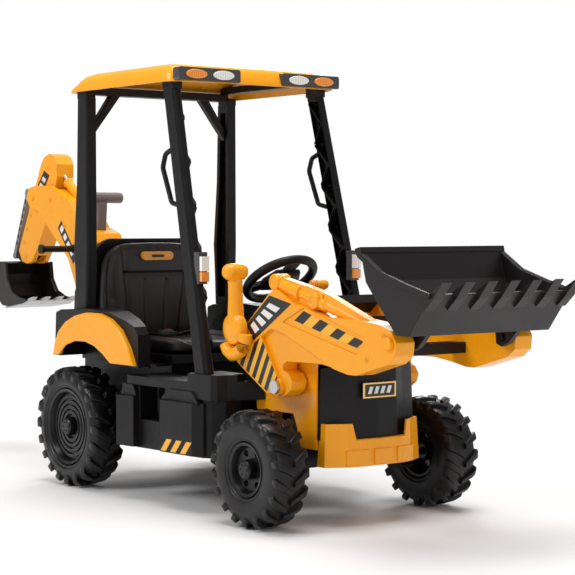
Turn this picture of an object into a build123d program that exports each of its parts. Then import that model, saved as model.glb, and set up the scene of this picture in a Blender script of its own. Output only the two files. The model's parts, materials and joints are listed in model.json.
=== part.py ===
from build123d import *
import os
from math import atan2, cos, radians, sin

# Toy ride-on backhoe loader, millimetres.  +X points forward to the loader, +Y to the rider's left,
# +Z up.  The origin is on the ground below the middle of the overall length.  Stations (the X values
# in the outlines below) are measured from the rear axle, and AXLE_X is where that axle stands.

os.makedirs("parts", exist_ok=True)

# ------------------------------------------------------------------ driving dimensions
AXLE_X = -269.0          # rear axle from the origin
WHEELBASE = 777.0
FRONT_RADIUS = 130.0     # tyre radius over the lugs
REAR_RADIUS = 152.0
FRONT_WIDTH = 90.0
REAR_WIDTH = 92.0
FRONT_TRACK = 250.0      # wheel centre plane from the middle of the vehicle
REAR_TRACK = 242.0
FRONT_RIM = 60.0         # rim radius under the tyre bead
REAR_RIM = 96.0
AXLE_RADIUS = 8.0
RUNNING = 0.05           # radial clearance of a hinge pin or a shaft
WALL = 4.0               # usual moulded wall

TUB_HALF = 165.0         # half width of the seat box
TUB_FLOOR = 205.0        # top of the footwell floor
SEAT_LEVEL = 325.0       # top of the seat box
COWL_HALF = 139.0        # half width of the bonnet
KINGPIN_Y = 170.0        # steering axis from the middle
ARM_INNER = 145.0        # loader arm, inner and outer faces
ARM_OUTER = 195.0
PILLAR_TOP = 985.0
ROOF_BASE = 1000.0

LOADER_PIVOT = (765.0, 305.0)     # (station, height) of the hinges
BUCKET_PIVOT = (1146.0, 422.0)
KING_STATION = -310.0
BOOM_PIVOT = (-315.0, 465.0)
DIPPER_PIVOT = (-600.0, 742.0)
DIGGER_PIVOT = (-668.0, 574.0)
DIPPER_HALF = 27.5
BOOM_HALF = 43.0
DIGGER_HALF = 75.0

PEDAL_PIVOT = (450.0, 214.0)
PEDAL_Y = -95.0
WHEEL_TILT = 35.0        # steering wheel, from the horizontal
STEER_CENTRE = (524.0, 534.0)


# ------------------------------------------------------------------ helpers
def side_plane(y):
    """Side view plane: local x is the station, local y the height; it extrudes to the right (-Y)."""
    return Plane(origin=(AXLE_X, y, 0), x_dir=(1, 0, 0), z_dir=(0, -1, 0))


def plan_plane(z):
    """Top view plane: local x is the station, local y the distance left; it extrudes up."""
    return Plane(origin=(AXLE_X, 0, z), x_dir=(1, 0, 0), z_dir=(0, 0, 1))


def front_plane(station):
    """Front view plane: local x is the distance left, local y the height; it extrudes forward."""
    return Plane(origin=(AXLE_X + station, 0, 0), x_dir=(0, 1, 0), z_dir=(1, 0, 0))


def outline(points, plane, radius=0.0, inset=0.0):
    """Closed straight-sided outline on a plane, with rounded corners and an optional inset."""
    with BuildSketch(plane) as shape:
        with BuildLine():
            Polyline(*points, close=True)
        make_face()
        if radius > 0:
            fillet(shape.vertices(), radius)
        if inset > 0:
            offset(amount=-inset, kind=Kind.INTERSECTION, mode=Mode.REPLACE)
    return shape.sketch


def disc(plane, centre, radius, bore=0.0):
    """Round outline on a plane, with an optional round bore."""
    with BuildSketch(plane) as shape:
        with Locations(centre):
            Circle(radius)
            if bore > 0:
                Circle(bore, mode=Mode.SUBTRACT)
    return shape.sketch


def at(station, y, z):
    """Point of the vehicle, from a station."""
    return (AXLE_X + station, y, z)


def save(part, name):
    """Label a finished piece and write it."""
    part.label = name
    export_step(part, "parts/" + name + ".step")


def save_sides(part, stem):
    """Write a right-hand piece and its mirror image on the left."""
    save(part, stem + "_right")
    save(mirror(part, about=Plane.XZ), stem + "_left")


def save_mirrored_group(part, name):
    """Write a right-hand piece and its mirror image together, as one node."""
    save(Compound(children=[part, mirror(part, about=Plane.XZ)]), name)


def axis_through(station, height):
    """Wheel axis or hinge axis, across the vehicle."""
    return Axis(at(station, 0, height), (0, 1, 0))


# ------------------------------------------------------------------ wheels
def tyre(radius, rim_radius, width, track, station, lugs, lug_width, lug_angle):
    """Hard hollow tractor tyre on the right side: carcass and alternating slanted lugs."""
    carcass_radius = 0.93 * radius
    lug_height = radius - carcass_radius + 5.0
    half = width / 2
    with BuildPart() as piece:
        with BuildSketch(front_plane(station)):
            with BuildLine():
                Polyline(
                    (-track - 0.40 * half, radius + rim_radius),
                    (-track - 0.86 * half, radius + rim_radius + 3),
                    (-track - half + 3, radius + 0.72 * radius),
                    (-track - 0.93 * half, radius + 0.88 * radius),
                    (-track - 0.70 * half, radius + carcass_radius),
                    (-track + 0.70 * half, radius + carcass_radius),
                    (-track + 0.93 * half, radius + 0.88 * radius),
                    (-track + half - 3, radius + 0.72 * radius),
                    (-track + 0.86 * half, radius + rim_radius + 3),
                    (-track + 0.40 * half, radius + rim_radius),
                    close=True,
                )
            make_face()
        revolve(axis=axis_through(station, radius))
        for hand, phase in ((1, 0.0), (-1, 0.5)):
            hub = Plane(
                origin=at(station, -track + hand * half / 2, radius),
                x_dir=(0, 0, -1),
                z_dir=(0, 1, 0),
            )
            with Locations(hub):
                with PolarLocations(0, lugs, start_angle=phase * 360 / lugs):
                    with Locations((radius - lug_height / 2, 0, 0)):
                        Box(lug_height, lug_width, 0.98 * half, rotation=(hand * lug_angle, 0, 0))
        # hollow, as it is blow-moulded
        with BuildSketch(front_plane(station)):
            with BuildLine():
                Polyline(
                    (-track - 0.60 * half, radius + rim_radius + 7),
                    (-track - half + 10, radius + 0.72 * radius),
                    (-track - 0.66 * half, radius + 0.85 * radius),
                    (-track + 0.66 * half, radius + 0.85 * radius),
                    (-track + half - 10, radius + 0.72 * radius),
                    (-track + 0.60 * half, radius + rim_radius + 7),
                    close=True,
                )
            make_face()
        revolve(axis=axis_through(station, radius), mode=Mode.SUBTRACT)
        # the lugs stand flat on the ground
        split(bisect_by=Plane.XY, keep=Keep.TOP)
    return piece.part


def rim(radius, rim_radius, width, track, station, windows, window_radius, ridges):
    """Dished rim on the right side: bead seat, disc with windows or ridges, hub, bolts and cap."""
    half = width / 2
    outer = -track - half
    disc_out = -track - 0.45 * half
    disc_in = disc_out + 7
    well = rim_radius - 7
    with BuildPart() as piece:
        with BuildSketch(front_plane(station)):
            with BuildLine():
                Polyline(
                    (outer + 1, radius),
                    (outer + 1, radius + 17),
                    (outer + 5, radius + 21),
                    (disc_out, radius + 23),
                    (disc_out - 3, radius + well - 6),
                    (outer + 7, radius + well),
                    (outer + 5, radius + rim_radius),
                    (-track + 0.8 * half, radius + rim_radius),
                    (-track + 0.8 * half, radius + well),
                    (disc_in, radius + well - 4),
                    (disc_in, radius + 21),
                    (-track + 0.5 * half, radius + 18),
                    (-track + 0.5 * half, radius + AXLE_RADIUS + RUNNING),
                    (outer + 6, radius + AXLE_RADIUS + RUNNING),
                    (outer + 6, radius),
                    close=True,
                )
            make_face()
        revolve(axis=axis_through(station, radius))
        face = Plane(origin=at(station, outer, radius), x_dir=(1, 0, 0), z_dir=(0, -1, 0))
        if windows:
            window_circle = (well + 24) / 2
            with Locations(face.offset(-half)):
                with PolarLocations(window_circle, windows):
                    Cylinder(window_radius, 60, mode=Mode.SUBTRACT)
        for ridge in range(ridges):
            ridge_radius = 36 + 13 * ridge
            lug_face = Plane(
                origin=at(station, disc_out - 3, radius), x_dir=(1, 0, 0), z_dir=(0, -1, 0)
            )
            extrude(disc(lug_face, (0, 0), ridge_radius + 4, ridge_radius - 4), amount=5)
            extrude(disc(lug_face, (0, 0), ridge_radius + 4, ridge_radius - 4), amount=-4)
        with Locations(face.offset(-1.0)):
            with PolarLocations(12, 6):
                Cylinder(2.2, 3.0)
    return piece.part


front_tyre = tyre(FRONT_RADIUS, FRONT_RIM, FRONT_WIDTH, FRONT_TRACK, WHEELBASE, 18, 15, 32)
rear_tyre = tyre(REAR_RADIUS, REAR_RIM, REAR_WIDTH, REAR_TRACK, 0, 20, 16, 32)
save_sides(front_tyre, "front_tyre")
save_sides(rear_tyre, "rear_tyre")

front_rim = rim(FRONT_RADIUS, FRONT_RIM, FRONT_WIDTH, FRONT_TRACK, WHEELBASE, 6, 7.5, 0)
rear_rim = rim(REAR_RADIUS, REAR_RIM, REAR_WIDTH, REAR_TRACK, 0, 0, 0, 4)
save_sides(front_rim, "front_rim")
save_sides(rear_rim, "rear_rim")

# ------------------------------------------------------------------ axles and steering knuckles
FORK_TOP = 158.0         # middle of the upper fork plate
FORK_BOTTOM = 102.0
KINGPIN_RADIUS = 6.0

FORK_THICKNESS = 8.0
BEAM_HALF = 145.0        # the forks start here, either side
with BuildPart() as front_axle_beam:
    with Locations(at(WHEELBASE, 0, 141)):
        Box(38, 2 * BEAM_HALF, 38)
    with Locations(at(WHEELBASE, 0, FORK_TOP)):
        Box(34, 2 * (KINGPIN_Y + 14), FORK_THICKNESS)
    for hand in (-1, 1):
        with Locations(at(WHEELBASE, hand * (BEAM_HALF + 19.5), FORK_BOTTOM)):
            Box(34, 39, FORK_THICKNESS)
        with Locations(at(WHEELBASE, hand * (BEAM_HALF - 1), FRONT_RADIUS)):
            Box(34, 12, FORK_TOP - FORK_BOTTOM)
    with Locations(at(WHEELBASE, 0, 163)):
        Box(60, 110, 4)
    with Locations(at(WHEELBASE, -KINGPIN_Y, FRONT_RADIUS), at(WHEELBASE, KINGPIN_Y, FRONT_RADIUS)):
        Cylinder(KINGPIN_RADIUS + RUNNING, 90, mode=Mode.SUBTRACT)
save(front_axle_beam.part, "front_axle_beam")

with BuildPart() as knuckle:
    with Locations(at(WHEELBASE, -KINGPIN_Y, FRONT_RADIUS)):
        Box(26, 22, 44)
        Cylinder(KINGPIN_RADIUS, 66)
    stub = disc(side_plane(-KINGPIN_Y - 9), (WHEELBASE, FRONT_RADIUS), AXLE_RADIUS)
    extrude(stub, amount=FRONT_TRACK + FRONT_WIDTH / 2 - 8 - KINGPIN_Y - 9)
    collar = disc(side_plane(-KINGPIN_Y - 11), (WHEELBASE, FRONT_RADIUS), 14)
    extrude(collar, amount=14)
save_sides(knuckle.part, "knuckle")

REAR_AXLE_LENGTH = 2 * (REAR_TRACK + REAR_WIDTH / 2 - 8)
with BuildPart() as rear_axle:
    rod = disc(side_plane(REAR_AXLE_LENGTH / 2), (0, REAR_RADIUS), AXLE_RADIUS)
    extrude(rod, amount=REAR_AXLE_LENGTH)
save(rear_axle.part, "rear_axle")

# ------------------------------------------------------------------ tub, battery and gear motors
with BuildPart() as chassis_tub:
    tub_outline = [
        (-105, 150), (-95, 120), (600, 120), (600, TUB_FLOOR),
        (305, TUB_FLOOR), (305, SEAT_LEVEL), (-105, SEAT_LEVEL),
    ]
    tub_inside = [
        (-100, 100), (595, 100), (595, TUB_FLOOR - 5),
        (300, TUB_FLOOR - 5), (300, SEAT_LEVEL - 5), (-100, SEAT_LEVEL - 5),
    ]
    extrude(outline(tub_outline, side_plane(0)), amount=TUB_HALF, both=True)
    extrude(outline(tub_inside, side_plane(0)), amount=TUB_HALF - 5, both=True, mode=Mode.SUBTRACT)
    # narrow nose between the front wheels, open below
    with Locations(at(719, 0, 185)):
        Box(238, 252, 40)
    with Locations(at(716.5, 0, 160)):
        Box(225, 242, 80, mode=Mode.SUBTRACT)
    # belly plate under the battery and its partition
    with Locations(at(250, 0, 124)):
        Box(370, 2 * TUB_HALF - 2, 6)
    # axle beam seat
    with Locations(at(WHEELBASE, 0, 183)):
        Box(60, 246, 36)
    # uprights that hold the loader pivot bolts
    for hand in (-1, 1):
        with Locations(at(LOADER_PIVOT[0], hand * 124, 265)):
            Box(60, 12, 125)
    # hinge bracket of the accelerator pedal on the footwell floor
    for ear_y in (PEDAL_Y - 31, PEDAL_Y + 31):
        with Locations(at(PEDAL_PIVOT[0], ear_y, 212)):
            Box(14, 4, 16)
    with Locations(side_plane(PEDAL_Y)):
        with Locations(PEDAL_PIVOT):
            Cylinder(3, 62)
    pin_hole = disc(side_plane(0), LOADER_PIVOT, 10)
    extrude(pin_hole, amount=200, both=True, mode=Mode.SUBTRACT)
    axle_hole = disc(side_plane(0), (0, REAR_RADIUS), AXLE_RADIUS)
    extrude(axle_hole, amount=200, both=True, mode=Mode.SUBTRACT)
save(chassis_tub.part, "chassis_tub")

with BuildPart() as battery:
    with Locations(at(190, 0, 175)):
        Box(150, 96, 96)
        chamfer(battery.edges().filter_by(Axis.Z), 3)
    for terminal in (-28, 28):
        with Locations(at(140, terminal, 226)):
            Box(10, 8, 6)
save(battery.part, "battery")

with BuildPart() as gear_motor:
    with Locations(at(10, -134, REAR_RADIUS)):
        Box(90, 50, 60)
    with Locations(at(90, -134, REAR_RADIUS)):
        Cylinder(20, 70, rotation=(0, 90, 0))
    extrude(
        disc(side_plane(0), (0, REAR_RADIUS), AXLE_RADIUS),
        amount=200,
        both=True,
        mode=Mode.SUBTRACT,
    )
save_mirrored_group(gear_motor.part, "gear_motors")

# ------------------------------------------------------------------ side bodies with the foot steps
SILL_TOP = 301.0         # sill over the foot step
COLUMN_TOP = 322.0       # the front pillars stand here
with BuildPart() as side_body:
    body_plan = [
        (226, -TUB_HALF), (226, -258), (300, -258), (404, -250), (516, -244), (516, -TUB_HALF),
    ]
    extrude(outline(body_plan, plan_plane(128)), amount=152)
    sill_plan = [(262, -TUB_HALF), (262, -266), (516, -257), (516, -TUB_HALF)]
    extrude(outline(sill_plan, plan_plane(280)), amount=SILL_TOP - 280)
    # column under the front pillar, wider above the tyre
    column_plan = [
        (512, -TUB_HALF), (512, -252), (556, -246), (572, -234), (592, -208), (592, -TUB_HALF),
    ]
    extrude(outline(column_plan, plan_plane(128)), amount=COLUMN_TOP - 128)
    column_head = [
        (512, -TUB_HALF), (512, -259), (600, -257), (612, -247), (616, -222), (626, -200), (606, -200),
        (606, -TUB_HALF),
    ]
    extrude(outline(column_head, plan_plane(264)), amount=COLUMN_TOP - 264)
    # lower wing beside the bonnet, clear of the lowered loader arm
    wing = [(604, -203), (624.7, -203), (652, -141), (604, -141)]
    extrude(outline(wing, plan_plane(264)), amount=42)
    # pods either side of the step, with sloping caps
    rear_pod = [(230, -240), (230, -278), (242, -284), (304, -276), (304, -240)]
    extrude(outline(rear_pod, plan_plane(131)), amount=122)
    rear_cap = [(234, 250), (304, 250), (304, 262), (292, 280), (256, 280)]
    extrude(outline(rear_cap, side_plane(-240)), amount=30)
    front_pod = [(406, -236), (406, -268), (420, -275), (542, -269), (562, -250), (562, -236)]
    extrude(outline(front_pod, plan_plane(132)), amount=122)
    front_cap = [(408, 250), (556, 250), (556, 256), (532, 280), (438, 280), (408, 258)]
    extrude(outline(front_cap, side_plane(-236)), amount=27)
    # foot step recess, open to the side
    step_back = [(306, -205), (306, -300), (404, -300), (404, -205)]
    extrude(outline(step_back, plan_plane(197), radius=5), amount=83, mode=Mode.SUBTRACT)
    # hollow from below, round the back of the step
    inside = [
        (231, -TUB_HALF - 4), (231, -252), (300, -252), (300, -199), (410, -199), (410, -244),
        (514, -238), (560, -228), (587, -206), (587, -TUB_HALF - 4),
    ]
    extrude(outline(inside, plan_plane(110)), amount=164, mode=Mode.SUBTRACT)
    column_inside = [(520, -172), (520, -240), (562, -226), (585, -205), (585, -172)]
    extrude(outline(column_inside, plan_plane(250)), amount=66, mode=Mode.SUBTRACT)
save_sides(side_body.part, "side_body")

# ------------------------------------------------------------------ rear fenders and arm-rest covers
FENDER_INNER = 200.0
FENDER_SPLIT = 274.0     # plane where the yellow panel meets the black cover
FENDER_OUTER = 288.0

fender_outline = [
    (-62, 330), (-52, 366), (-34, 394), (0, 419), (45, 436), (100, 446), (160, 446), (212, 434),
    (258, 409), (296, 368), (318, 326), (214, 326), (180, 346), (140, 364), (96, 373), (48, 372),
    (4, 360), (-30, 336),
]
fender_inside = [
    (-40, 300), (-30, 352), (0, 392), (45, 418), (100, 428), (160, 428), (205, 417),
    (240, 398), (262, 372), (282, 322), (300, 300),
]
with BuildPart() as fender:
    extrude(outline(fender_outline, side_plane(-FENDER_SPLIT)), amount=FENDER_OUTER - FENDER_SPLIT)
    outer_rim = fender.faces().sort_by(Axis.Y)[0].edges()
    fillet(outer_rim, 5)
    hollow = outline(fender_inside, side_plane(-FENDER_SPLIT))
    extrude(hollow, amount=FENDER_OUTER - FENDER_SPLIT - WALL, mode=Mode.SUBTRACT)
save_sides(fender.part, "fender_panel")

cover_outline = [
    (-62, 330), (-70, 372), (-66, 440), (-40, 448), (94, 455), (184, 449), (262, 434), (306, 419),
    (323, 400), (323, 322), (284, 322), (262, 376), (236, 402), (200, 421), (158, 433),
    (98, 434), (44, 424), (-2, 398), (-36, 352), (-42, 330),
]
with BuildPart() as fender_cover:
    extrude(outline(cover_outline, side_plane(-FENDER_INNER)), amount=FENDER_SPLIT - FENDER_INNER)
    # the cover narrows towards its front end
    cover_plan = [(-90, -190), (150, -FENDER_INNER), (323, -244), (330, -300), (-90, -300)]
    extrude(outline(cover_plan, plan_plane(300)), amount=200, mode=Mode.INTERSECT)
    top_edges = fender_cover.edges().filter_by(Axis.Y).sort_by(Axis.Z)[-5:]
    fillet(top_edges, 6)
    # inner cheek over the wheel arch, and the shelf from it to the seat box
    cheek = [(-60, 319), (-60, 372), (-34, 404), (0, 424), (98, 440), (152, 434), (152, 319)]
    extrude(outline(cheek, side_plane(-FENDER_INNER + 7)), amount=7)
    slanted_cheek = [(148, -193), (322, -238), (322, -245), (148, -200)]
    extrude(outline(slanted_cheek, plan_plane(319)), amount=79)
    shelf = [(-60, 319), (-60, SEAT_LEVEL), (289, SEAT_LEVEL), (290, 319)]
    extrude(outline(shelf, side_plane(-TUB_HALF)), amount=FENDER_INNER - TUB_HALF)
save_sides(fender_cover.part, "fender_cover")

# ------------------------------------------------------------------ seat and belt
SEAT_HALF = 170.0
with BuildPart() as seat_shell:
    shell_outline = [
        (-104, 325), (-104, 345), (-96, 360), (-86, 470), (-74, 590), (-66, 628), (-52, 628),
        (-57, 590), (-68, 470), (-74, 352), (312, 345), (318, 325),
    ]
    extrude(outline(shell_outline, side_plane(0)), amount=SEAT_HALF, both=True)
    with BuildSketch(front_plane(-120)):
        with Locations((0, 474)):
            RectangleRounded(2 * SEAT_HALF, 310, 66)
        with Locations((0, 360)):
            Rectangle(2 * SEAT_HALF, 90)
    extrude(amount=460, mode=Mode.INTERSECT)
save(seat_shell.part, "seat_shell")

with BuildPart() as seat_back_pad:
    pad_side = [
        (-73.5, 354), (-67.5, 470), (-56.5, 590), (-51.5, 624), (-30, 624), (-12, 590),
        (-12, 470), (-8, 380), (-14, 354),
    ]
    extrude(outline(pad_side, side_plane(0)), amount=SEAT_HALF - 8, both=True)
    with BuildSketch(front_plane(-120)):
        with Locations((0, 479)):
            RectangleRounded(2 * SEAT_HALF - 16, 306, 62)
        with Locations((0, 380)):
            Rectangle(2 * SEAT_HALF - 16, 100)
    extrude(amount=200, mode=Mode.INTERSECT)
save(seat_back_pad.part, "seat_back_pad")

with BuildPart() as seat_cushion:
    cushion_side = [
        (-13.5, 354), (-8, 370), (120, 368), (290, 374), (304, 366), (306, 346.5), (140, 349), (-13, 352),
    ]
    extrude(outline(cushion_side, side_plane(0)), amount=SEAT_HALF - 8, both=True)
save(seat_cushion.part, "seat_cushion")

with BuildPart() as seat_belt:
    strap_side = [(40, 370.2), (66, 369.8), (66, 372.8), (40, 373.2)]
    extrude(outline(strap_side, side_plane(0)), amount=SEAT_HALF - 12, both=True)
    with Locations(at(53, -18, 376)):
        Box(40, 62, 10)
save(seat_belt.part, "seat_belt")

# ------------------------------------------------------------------ cab pillars
PILLAR_LEAN = -0.2466        # station per millimetre of height, front pillars
FRONT_PILLAR_FOOT = (550.0, 322.0)
PILLAR_DEPTH = 50.0
PILLAR_WIDTH = 30.0


def front_pillar_station(height):
    """Middle of the front pillar's section at a height."""
    return FRONT_PILLAR_FOOT[0] + PILLAR_LEAN * (height - FRONT_PILLAR_FOOT[1])


def pillar_offset(height):
    """Distance of the front pillar's middle from the middle of the vehicle."""
    return 238.0 - 0.0325 * (height - FRONT_PILLAR_FOOT[1])


def pillar_section(height, depth, width, shift, corner):
    """Section of the front pillar at a height, with its corners cut."""
    with BuildSketch(plan_plane(height)) as section:
        with Locations((front_pillar_station(height), -pillar_offset(height) + shift)):
            Rectangle(depth, width)
        chamfer(section.vertices(), corner)
    return section.sketch


foot_height = FRONT_PILLAR_FOOT[1]
with BuildPart() as pillar_channel:
    lower = pillar_section(foot_height + 20, PILLAR_DEPTH - 8, PILLAR_WIDTH, 6, 4)
    upper = pillar_section(PILLAR_TOP - 12, PILLAR_DEPTH - 12, PILLAR_WIDTH, 6, 4)
    loft(sections=[lower, upper], ruled=True)

RIB_PITCH = 52.0
with BuildPart() as pillar_ribs:
    for rib in range(12):
        rib_low = foot_height + 24 + rib * RIB_PITCH
        near, far = (-21, 21) if rib % 2 == 0 else (21, -21)
        rib_high = rib_low + RIB_PITCH
        rib_points = [
            (front_pillar_station(rib_low) + near, rib_low - 3),
            (front_pillar_station(rib_high) + far, rib_high - 3),
            (front_pillar_station(rib_high) + far, rib_high + 1),
            (front_pillar_station(rib_low) + near, rib_low + 1),
        ]
        extrude(outline(rib_points, side_plane(-205)), amount=50)
    add(pillar_channel.part, mode=Mode.INTERSECT)

with BuildPart() as front_pillar:
    lower = pillar_section(foot_height, PILLAR_DEPTH, PILLAR_WIDTH, 0, 8)
    upper = pillar_section(PILLAR_TOP, PILLAR_DEPTH - 4, PILLAR_WIDTH - 2, 0, 7)
    loft(sections=[lower, upper], ruled=True)
    add(pillar_channel.part, mode=Mode.SUBTRACT)
    add(pillar_ribs.part)
save_sides(front_pillar.part, "front_pillar")

rear_pillar_outline = [
    (18, 445), (24, 600), (22, PILLAR_TOP), (-24, PILLAR_TOP), (-30, 780), (-45, 610), (-40, 540),
    (-36, 449),
]
with BuildPart() as rear_pillar:
    extrude(outline(rear_pillar_outline, side_plane(-206)), amount=28)
    fillet(rear_pillar.faces().sort_by(Axis.Y)[0].edges().filter_by(lambda e: e.length > 60), 6)
    groove = [(8, 470), (13, 600), (11, PILLAR_TOP - 20), (-13, PILLAR_TOP - 20), (-18, 780), (-32, 612),
              (-26, 470)]
    extrude(outline(groove, side_plane(-206)), amount=18, mode=Mode.SUBTRACT)
    add(fender_cover.part, mode=Mode.SUBTRACT)
save_sides(rear_pillar.part, "rear_pillar")

HANDLE_RADIUS = 6.0
with BuildPart() as grab_handle:
    with BuildLine(side_plane(-222)) as handle_path:
        FilletPolyline((398, 844), (366, 832), (354, 800), (392, 716), (432, 708), radius=14)
    with BuildSketch(Plane(origin=handle_path.line @ 0, z_dir=handle_path.line % 0)):
        Circle(HANDLE_RADIUS)
    sweep()
    add(front_pillar.part, mode=Mode.SUBTRACT)
save_mirrored_group(grab_handle.part, "grab_handles")

# ------------------------------------------------------------------ roof
def roof_section(height, inset):
    """Outline of the roof at a height, with its bowed front edge."""
    with BuildSketch(plan_plane(height)) as section:
        with BuildLine():
            Polyline((436, -232), (412, -247), (250, -252), (-26, -252), (-56, -222), (-56, 222))
            Polyline((-56, 222), (-26, 252), (250, 252), (412, 247), (436, 232))
            ThreePointArc((436, 232), (448, 0), (436, -232))
        make_face()
        if inset > 0:
            offset(amount=-inset, kind=Kind.INTERSECTION, mode=Mode.REPLACE)
    return section.sketch


ROOF_PROFILE = ((0, 0), (26, 4), (38, 12), (46, 34), (50, 80))     # (height, inset) pairs
with BuildPart() as roof_void:
    loft(
        sections=[roof_section(ROOF_BASE + rise - WALL, inset + WALL) for rise, inset in ROOF_PROFILE],
        ruled=True,
    )
with BuildPart() as roof_shell:
    loft(
        sections=[roof_section(ROOF_BASE + rise, inset) for rise, inset in ROOF_PROFILE],
        ruled=True,
    )
    add(roof_void.part, mode=Mode.SUBTRACT)
    # recesses of the two lamp bars in the front edge
    for hand in (-1, 1):
        with Locations(at(448, hand * 152, 1017)):
            Box(44, 182, 34, mode=Mode.SUBTRACT)
save(roof_shell.part, "roof_shell")

with BuildPart() as roof_frame:
    for hand in (-1, 1):
        with Locations(at(198, hand * 222, 992.5)):
            Box(462, 26, 15)
    with Locations(at(0, 0, 992.5)):
        Box(40, 440, 15)
    for hand in (-1, 1):
        brace = [
            (hand * 120, 985), (hand * 150, 985), (hand * 206, 918), (hand * 206, 890),
        ]
        extrude(outline(brace, front_plane(-10)), amount=20)
        # seats inside the roof shell, at the heads of the pillars
        for station in (10, 385):
            with Locations(at(station, hand * 234, 1005)):
                Box(50, 40, 26)
    add(roof_shell.part, mode=Mode.SUBTRACT)
save(roof_frame.part, "roof_frame")

with BuildPart() as lamp_housing:
    # roof lamp bar
    with Locations(at(439, -152, 1018)):
        Box(24, 178, 31)
        fillet(lamp_housing.edges().filter_by(Axis.X), 6)
    # pillar lamp body, on the pillar's front edge
    with Locations(at(520, -228, 564)):
        Box(20, 24, 74)
    add(front_pillar.part, mode=Mode.SUBTRACT)
save_mirrored_group(lamp_housing.part, "lamp_housings")


def roof_lens(offset_y):
    """Oval lamp on the face of the right roof lamp bar."""
    with BuildSketch(front_plane(451)) as lens:
        with Locations((-offset_y, 1018)):
            Ellipse(30, 11)
    return lens.sketch


with BuildPart() as lamps_white:
    extrude(roof_lens(113), amount=4)
    fillet(lamps_white.faces().sort_by(Axis.X)[-1].edges(), 2)
    with Locations(at(535, -228, 574)):
        Box(10, 20, 34)
save_mirrored_group(lamps_white.part, "lamps_white")

with BuildPart() as lamps_amber:
    extrude(roof_lens(191), amount=4)
    fillet(lamps_amber.faces().sort_by(Axis.X)[-1].edges(), 2)
    with Locations(at(535, -228, 544)):
        Box(10, 20, 22)
save_mirrored_group(lamps_amber.part, "lamps_amber")

# ------------------------------------------------------------------ bonnet, grille and bumper
cowl_outline = [
    (618, 240), (756, 240), (770, 208), (771, 167), (838, 167), (838, 358), (806, 378), (765, 392),
    (655, 402), (618, 398),
]
cowl_inside = [
    (600, 100), (860, 100), (860, 346), (803, 373), (764, 387), (655, 397), (600, 392),
]
with BuildPart() as bonnet_cowl:
    extrude(outline(cowl_outline, side_plane(0)), amount=COWL_HALF, both=True)
    fillet(bonnet_cowl.edges().filter_by(Axis.X).sort_by(Axis.Z)[-2:], 3)
    extrude(outline(cowl_inside, side_plane(0)), amount=COWL_HALF - 5, both=True, mode=Mode.SUBTRACT)
    extrude(pin_hole, amount=200, both=True, mode=Mode.SUBTRACT)
save(bonnet_cowl.part, "bonnet_cowl")

bumper_plan = [
    (840, -139), (866, -139), (893, -92), (901, -60), (903, 0), (901, 60), (893, 92), (866, 139),
    (840, 139),
]
bumper_pocket = [
    (800, -133), (862, -133), (888, -89), (895, -58), (897, 0), (895, 58), (888, 89), (862, 133),
    (800, 133),
]
LEDGE_TOP = 190.0
with BuildPart() as front_bumper:
    extrude(outline(bumper_plan, plan_plane(131)), amount=95, taper=3)
    notch = [(-82, 240), (-71, LEDGE_TOP), (71, LEDGE_TOP), (82, 240)]
    extrude(outline(notch, front_plane(820)), amount=120, mode=Mode.SUBTRACT)
    extrude(outline(bumper_pocket, plan_plane(140)), amount=120, taper=3, mode=Mode.SUBTRACT)
    # ledge that closes the notch, under the grille
    ledge = [(846, -80), (884, -80), (893, -58), (895, 0), (893, 58), (884, 80), (846, 80)]
    extrude(outline(ledge, plan_plane(LEDGE_TOP - 6)), amount=6)
    # three raised panels on the face
    side_panel = [(884, -97), (894, -97), (902.5, -62), (904.5, -42), (884, -42)]
    middle_panel = [(884, -26), (905, -26), (905.5, 0), (905, 26), (884, 26)]
    for panel in (side_panel, middle_panel, [(station, -y) for station, y in side_panel]):
        extrude(outline(panel, plan_plane(134)), amount=34)
save(front_bumper.part, "front_bumper")

GRILLE_PITCH = 9.0
grille_plan = [
    (839, -138), (848, -138), (866, -92), (882, -60), (887, 0), (882, 60), (866, 92), (848, 138),
    (839, 138),
]
grille_back = [
    (830, -124), (842, -124), (856, -84), (870, -54), (875, 0), (870, 54), (856, 84), (842, 124),
    (830, 124),
]
with BuildPart() as grille:
    extrude(outline(grille_plan, plan_plane(LEDGE_TOP)), amount=158, taper=2)
    for slat in range(13):
        slat_plane = plan_plane(226 + GRILLE_PITCH * slat)
        with BuildSketch(slat_plane) as slot_sketch:
            add(outline([(station + 3, y * 1.03) for station, y in grille_plan], slat_plane))
            add(
                outline([(station - 4, y * 0.965) for station, y in grille_plan], slat_plane),
                mode=Mode.SUBTRACT,
            )
        extrude(slot_sketch.sketch, amount=4, mode=Mode.SUBTRACT)
    extrude(outline(grille_back, plan_plane(LEDGE_TOP + 6)), amount=144, mode=Mode.SUBTRACT)
    add(front_bumper.part, mode=Mode.SUBTRACT)
save(grille.part, "grille")

# ------------------------------------------------------------------ dash, column and steering wheel
wheel_lean = radians(WHEEL_TILT)
wheel_plane = Plane(
    origin=at(STEER_CENTRE[0], 0, STEER_CENTRE[1]),
    x_dir=(0, -1, 0),
    z_dir=(-sin(wheel_lean), 0, cos(wheel_lean)),
)
SHAFT_RADIUS = 7.0
SWITCH_PLANE = Plane(origin=at(552.5, 62, 435), x_dir=(0, -1, 0), z_dir=(-0.8944, 0, 0.4472))

with BuildPart() as steering_column:
    with Locations(wheel_plane):
        with Locations((0, 0, -54)):
            Cone(34, 22, 74)
        with Locations((0, 0, -48)):
            Cylinder(SHAFT_RADIUS + RUNNING, 66, mode=Mode.SUBTRACT)
save(steering_column.part, "steering_column")

with BuildPart() as column_space:
    with Locations(wheel_plane):
        with Locations((0, 0, -54)):
            Cone(34, 22, 74)

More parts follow.
